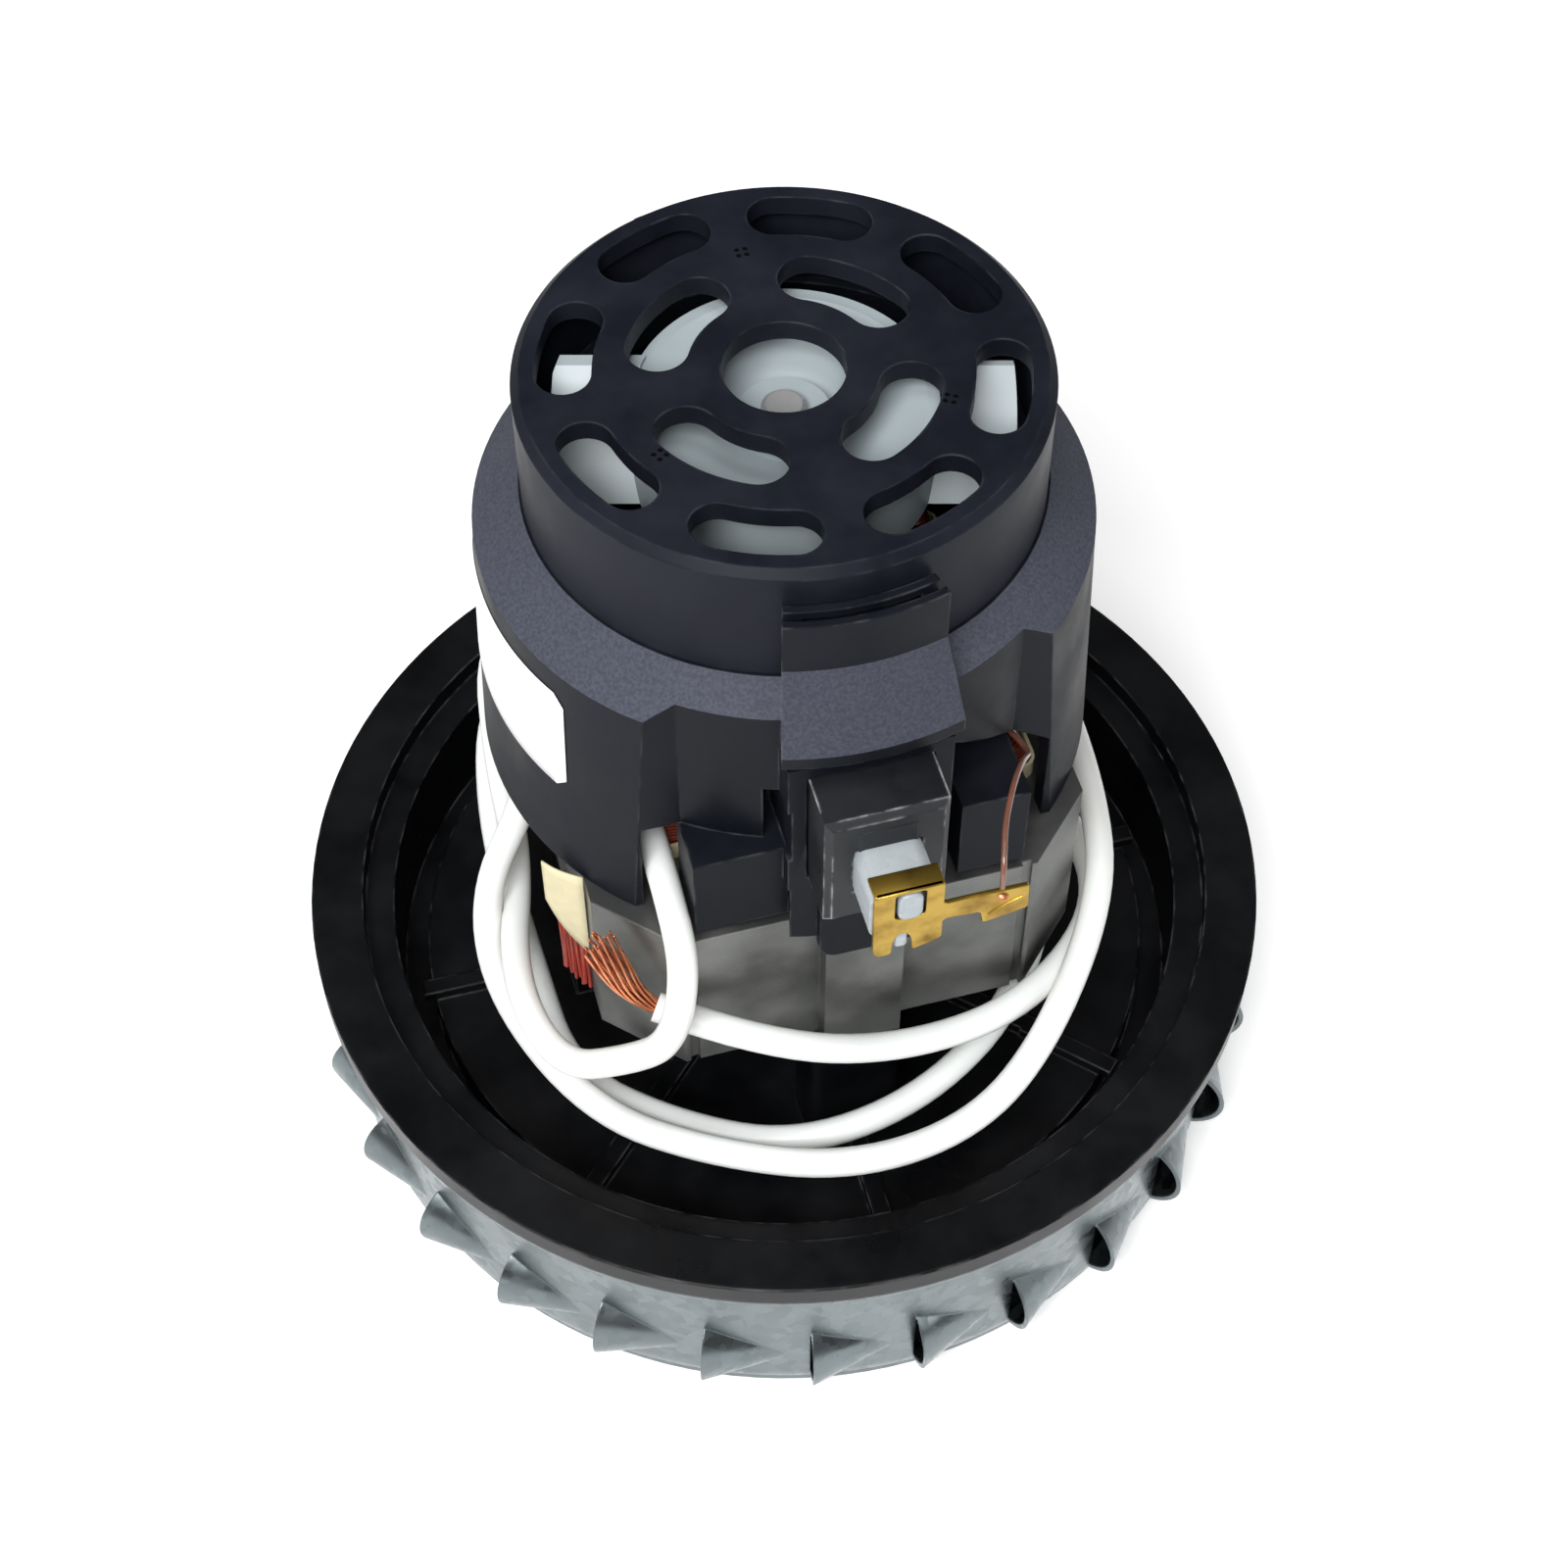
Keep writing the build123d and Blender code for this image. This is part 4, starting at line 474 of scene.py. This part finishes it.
FINISHES = {
    black_housing: ("motor_housing",),
    holder_black: ("brush_holder_front", "brush_holder_rear"),
    black_cover: ("fan_cover",),
    black_dish: ("base_dish", "eye_seal"),
    pan_zinc: ("fan_housing",),
    box_zinc: ("brush_box_front", "brush_box_rear"),
    stack_steel: ("stator_core", "armature_core"),
    brass: ("brush_cap_front", "brush_cap_rear"),
    bearing_steel: ("bearing_outer_rings", "bearing_inner_rings", "preload_washer", "shaft", "impeller_spacer"),
    screw_zinc: (
        "bearing_retainer", "retainer_screws", "stator_screws", "impeller_washers", "impeller_nut",
        "brush_spring_front", "brush_spring_rear",
    ),
    wire_enamel: ("field_wire_front", "field_wire_rear"),
    bare_copper: ("lead_strands",),
    commutator_copper: ("commutator_bars",),
    impeller_sheet: ("impeller_front", "impeller_back", "impeller_blades"),
    carbon: ("carbon_brush_front", "carbon_brush_rear"),
    resin: ("commutator_hub", "end_boards"),
    cream_paper: ("slot_papers", "side_paper"),
    fan_white: ("cooling_fan",),
    coil_wire: ("field_coil_front", "field_coil_rear"),
    armature_wire: ("armature_winding",),
}
for finish, names in FINISHES.items():
    for name in names:
        node = nodes[name]
        node.data.materials.clear()
        node.data.materials.append(finish)


# Tools for the pieces made here
def round_wires(name, routes, radius, finish, corners, steps):
    """Round wires in one piece, each a smooth line that has its route's points as its control points."""
    data = bpy.data.curves.new(name, "CURVE")
    data.dimensions = "3D"
    data.bevel_depth = radius
    data.bevel_resolution = corners
    data.resolution_u = steps
    data.use_fill_caps = True
    for route in routes:
        line = data.splines.new("NURBS")
        line.points.add(len(route) - 1)
        for point, place in zip(line.points, route):
            point.co = (*place, 1)
        line.order_u = 3
        line.use_endpoint_u = True
    data.materials.append(finish)
    piece = placed_object(name, data)
    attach(piece, "frame")
    return piece


def closed_sheet(name, place, layers, columns, rows, finish, first_inside):
    """A thin closed sheet between two layers of points, with faces over both and round the border."""
    points = [
        tuple(place(column, row, layer)) for layer in layers for row in range(rows + 1) for column in range(columns + 1)
    ]
    across = columns + 1
    layer = across * (rows + 1)
    faces = []
    for row in range(rows):
        for column in range(columns):
            first = row * across + column
            quad = (first, first + 1, first + across + 1, first + across)
            other = tuple(layer + i for i in quad)
            faces += (quad[::-1], other) if first_inside else (quad, other[::-1])
    border = list(range(across)) + [row * across + columns for row in range(1, rows + 1)]
    border += [rows * across + column for column in range(columns - 1, -1, -1)]
    border += [row * across for row in range(rows - 1, 0, -1)]
    for here, there in zip(border, border[1:] + border[:1]):
        if not first_inside:
            here, there = there, here
        faces.append((here, there, layer + there, layer + here))
    data = bpy.data.meshes.new(name)
    data.from_pydata(points, [], faces)
    data.update()
    for face in data.polygons:
        face.use_smooth = True
    data.materials.append(finish)
    piece = placed_object(name, data)
    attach(piece, "frame")
    return piece


def stamped(name, outlines, reach, turn, finish, edge=0.1):
    """Sheet cut to outlines of across and height, over a reach along the brush axis, its edges rounded."""
    low, high = reach
    data = bpy.data.curves.new(name, "CURVE")
    data.dimensions = "2D"
    data.fill_mode = "BOTH"
    data.extrude = ((high - low) / 2 - edge) * MM
    data.bevel_depth = edge * MM
    data.bevel_resolution = 2
    data.offset = -edge * MM
    for outline in outlines:
        line = data.splines.new("POLY")
        line.points.add(len(outline) - 1)
        for point, (across, height) in zip(line.points, outline):
            point.co = (across * MM, height * MM, 0, 1)
        line.use_cyclic_u = True
    shape = placed_object(name, data)
    mesh = bpy.data.meshes.new_from_object(shape.evaluated_get(bpy.context.evaluated_depsgraph_get()))
    bpy.data.objects.remove(shape)
    for vertex in mesh.vertices:
        across, height, out = (c / MM for c in vertex.co)
        vertex.co = spot(turn * across, turn * ((low + high) / 2 - out), height)
    mesh.materials.clear()
    mesh.materials.append(finish)
    for face in mesh.polygons:
        face.use_smooth = True
    mesh.set_sharp_from_angle(angle=radians(50))
    piece = placed_object(name, mesh)
    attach(piece, "frame")
    return piece


def round_box(left, right, low, high, radius, steps=6):
    """Corner points of a box with round corners."""
    points = []
    for cx, cz, start in (
        (right - radius, high - radius, 0), (left + radius, high - radius, 90),
        (left + radius, low + radius, 180), (right - radius, low + radius, 270),
    ):
        for step in range(steps + 1):
            angle = radians(start + 90 * step / steps)
            points.append((cx + radius * cos(angle), cz + radius * sin(angle)))
    return points


# Label: a bare white plate that follows the drafted wall of the housing
def label_place(column, row, layer):
    height = LABEL_LOW + (LABEL_HIGH - LABEL_LOW) * row / LABEL_ROWS
    bearing = LABEL_START + (LABEL_END - LABEL_START) * column / LABEL_COLUMNS
    corner = max(0.0, LABEL_CORNER - min(height - LABEL_LOW, LABEL_HIGH - height))
    pull = (LABEL_CORNER - (LABEL_CORNER**2 - corner**2) ** 0.5) * DEGREES_PER_MM
    bearing = min(max(bearing, LABEL_START + pull), LABEL_END - pull)
    reach = (WALL_RADIUS - (height - WALL_FOOT) * WALL_LEAN / WALL_RISE + layer) * MM
    return reach * cos(radians(bearing)), reach * sin(radians(bearing)), height * MM


label = closed_sheet("label_plate", label_place, LABEL_LAYERS, LABEL_COLUMNS, LABEL_ROWS, label_stock, True)

# White leads
for name, node, route, lead_length in (
    ("long_lead_insulation", "long_lead", LONG_LEAD, 0.514),
    ("short_lead_insulation", "short_lead", SHORT_LEAD, 0.318),
):
    points = [spot(*point) for point in route]
    piece = round_wires(name, [points], LEAD_RADIUS, lead_white, 6, 8)
    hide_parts(node)


def bare_end(name, route, spread):
    """The bare end of a lead: fine strands laid with a slight twist, splayed where they were cut."""
    start, middle, end = [spot(*point) for point in route]
    across = (end - start).normalized().cross(Vector((0.0, -0.6, 0.8))).normalized()
    aside = (end - start).normalized().cross(across)
    strands = []
    for index in range(STRAND_COUNT):
        inner = index <= STRAND_INNER_RING
        ring = 0.0 if index == 0 else (0.5 if inner else 1.0)
        turn = index * 2 * pi / (STRAND_INNER_RING if inner else STRAND_COUNT - STRAND_INNER_RING - 1)
        fan = random.uniform(*STRAND_FAN)
        points = []
        for share, base, width in (
            (0, start, 1.0), (0.3, middle, 1.1), (0.65, middle.lerp(end, 0.5), 1.3), (1, end, 1.0),
        ):
            angle = turn + STRAND_TWIST * share
            reach = ring * (STRAND_BUNDLE * width + spread * share * fan)
            slip = (end - middle) * random.uniform(*STRAND_SLIP) if share == 1 else Vector()
            points.append(base + slip + across * reach * cos(angle) + aside * reach * sin(angle) * 0.6)
        strands.append(points)
    piece = round_wires(name, strands, STRAND_RADIUS, bare_copper, 1, 3)
    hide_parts("lead_strands")


bare_end("front_strands", FRONT_STRANDS, 0.0012)
bare_end("rear_strands", REAR_STRANDS, 0.0007)

# Brush box and brass cap: bent sheet with soft corners, in place of the plain solids
for side, turn in SIDES:
    tube = (round_box(*TUBE_OUTER), round_box(*TUBE_INNER))
    box = stamped(f"brush_tube_{side}", tube, TUBE_REACH, turn, box_zinc)
    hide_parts(f"brush_box_{side}")
    face = stamped(f"cap_face_{side}", (CAP_FACE, round_box(*CAP_WINDOW)), CAP_FACE_REACH, turn, brass)
    roof = stamped(f"cap_roof_{side}", (round_box(*CAP_ROOF, 2),), CAP_ROOF_REACH, turn, brass)
    for piece in (face, roof):
        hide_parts(f"brush_cap_{side}")
    tab = stamped(f"box_tab_{side}", (round_box(*TAB),), TAB_REACH, turn, box_zinc, 0.3)
    stub = stamped(f"box_stub_{side}", (round_box(*STUB),), STUB_REACH, turn, box_zinc, 0.2)
    plate = stamped(f"box_end_{side}", (round_box(*END_PLATE),), END_PLATE_REACH, turn, carbon)
    crease_route = [spot(turn * across, turn * CREASE_OUT, height) for across, height in CREASE]
    crease = round_wires(f"tongue_crease_{side}", [crease_route], CREASE_RADIUS, brass, 2, 4)

# Holder fillers: thin plates that level the shallow slots over and under the brush box
for side, turn in SIDES:
    for end, low, high in FILLERS:
        plate_outline = round_box(-FILLER_HALF, FILLER_HALF, low, high, FILLER_CORNER, 1)
        filler = stamped(f"holder_filler_{end}_{side}", (plate_outline,), FILLER_REACH, turn, filler_black, 0.05)


# Side paper: a sheet that bows out from the stack, its low edge rising away from it
def paper_place(column, row, layer):
    share = column / PAPER_COLUMNS
    low = PAPER_LOW + PAPER_RISE * share
    height = low + (PAPER_TOP - low) * row / PAPER_ROWS
    bow = PAPER_BOW * sin(pi * share)
    return spot(
        PAPER_EDGE_ACROSS - PAPER_REACH_ACROSS * share - bow - layer * PAPER_SLANT,
        PAPER_EDGE_OUT - PAPER_REACH_OUT * share + layer * PAPER_SLANT, height,
    )


curled = closed_sheet("side_paper_sheet", paper_place, PAPER_LAYERS, PAPER_COLUMNS, PAPER_ROWS, cream_paper, False)
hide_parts("side_paper")
for index, (lean, foot) in enumerate(COIL_SIDE_WIRES):
    coil_route = [
        spot(
            COIL_WIRE_ACROSS - lean * 0.9 + COIL_WIRE_SWAY * sin(2.1 * index + 0.3 * height),
            COIL_WIRE_OUT - lean * 0.7 + 0.3 * (index % 2), height,
        )
        for height in (foot, *COIL_WIRE_HEIGHTS)
    ]
    strand = round_wires(f"coil_side_wire_{index}", [coil_route], COIL_WIRE_RADIUS, red_enamel, 2, 4)

# Solder on the brass tongues
for side, turn in SIDES:
    blob = bmesh.new()
    bmesh.ops.create_icosphere(blob, subdivisions=3, radius=SOLDER_RADIUS)
    for vertex in blob.verts:
        vertex.co = vertex.co * (1 + 0.12 * sin(vertex.co.x * 4000) * cos(vertex.co.z * 3000))
        vertex.co.z *= SOLDER_FLATTEN
    data = bpy.data.meshes.new(f"solder_{side}")
    blob.to_mesh(data)
    blob.free()
    for face in data.polygons:
        face.use_smooth = True
    data.materials.append(bare_copper)
    piece = placed_object(f"solder_{side}", data)
    piece.location = spot(turn * SOLDER_ACROSS, turn * SOLDER_OUT, SOLDER_HEIGHT)
    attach(piece, "frame")

# Floor
floor_material = material("floor white", (0.93, 0.93, 0.93), 0.9, Emission_Color=(1, 1, 1, 1), Emission_Strength=0.25)
floor_mesh = bpy.data.meshes.new("floor")
floor_mesh.from_pydata([(-3, -3, 0), (3, -3, 0), (3, 3, 0), (-3, 3, 0)], [], [(0, 1, 2, 3)])
floor_mesh.materials.append(floor_material)
floor = placed_object("floor", floor_mesh)


def softbox(name, place, size, power):
    """A rectangular light that faces the middle of the motor's fan unit."""
    data = bpy.data.lights.new(name, "AREA")
    data.shape = "RECTANGLE"
    data.size, data.size_y = size
    data.energy = power
    lamp = placed_object(name, data)
    lamp.location = place
    lamp.rotation_euler = (Vector(LIGHT_AIM) - Vector(place)).to_track_quat("-Z", "Y").to_euler()


# Soft studio light. The key stands near the camera, so the level black faces mirror the dark back.
softbox("key", (-0.16, -0.5, 0.72), (0.45, 0.35), 9.0)
softbox("top", (0.0, -0.05, 0.95), (0.35, 0.35), 2.0)
softbox("left", (-0.75, -0.05, 0.35), (0.25, 0.4), 0.9)
softbox("right", (0.75, -0.15, 0.35), (0.25, 0.4), 0.9)
world = bpy.data.worlds.new("studio")
world.use_nodes = True
world.node_tree.nodes["Background"].inputs["Color"].default_value = (1, 1, 1, 1)
world.node_tree.nodes["Background"].inputs["Strength"].default_value = 0.16
bpy.context.scene.world = world
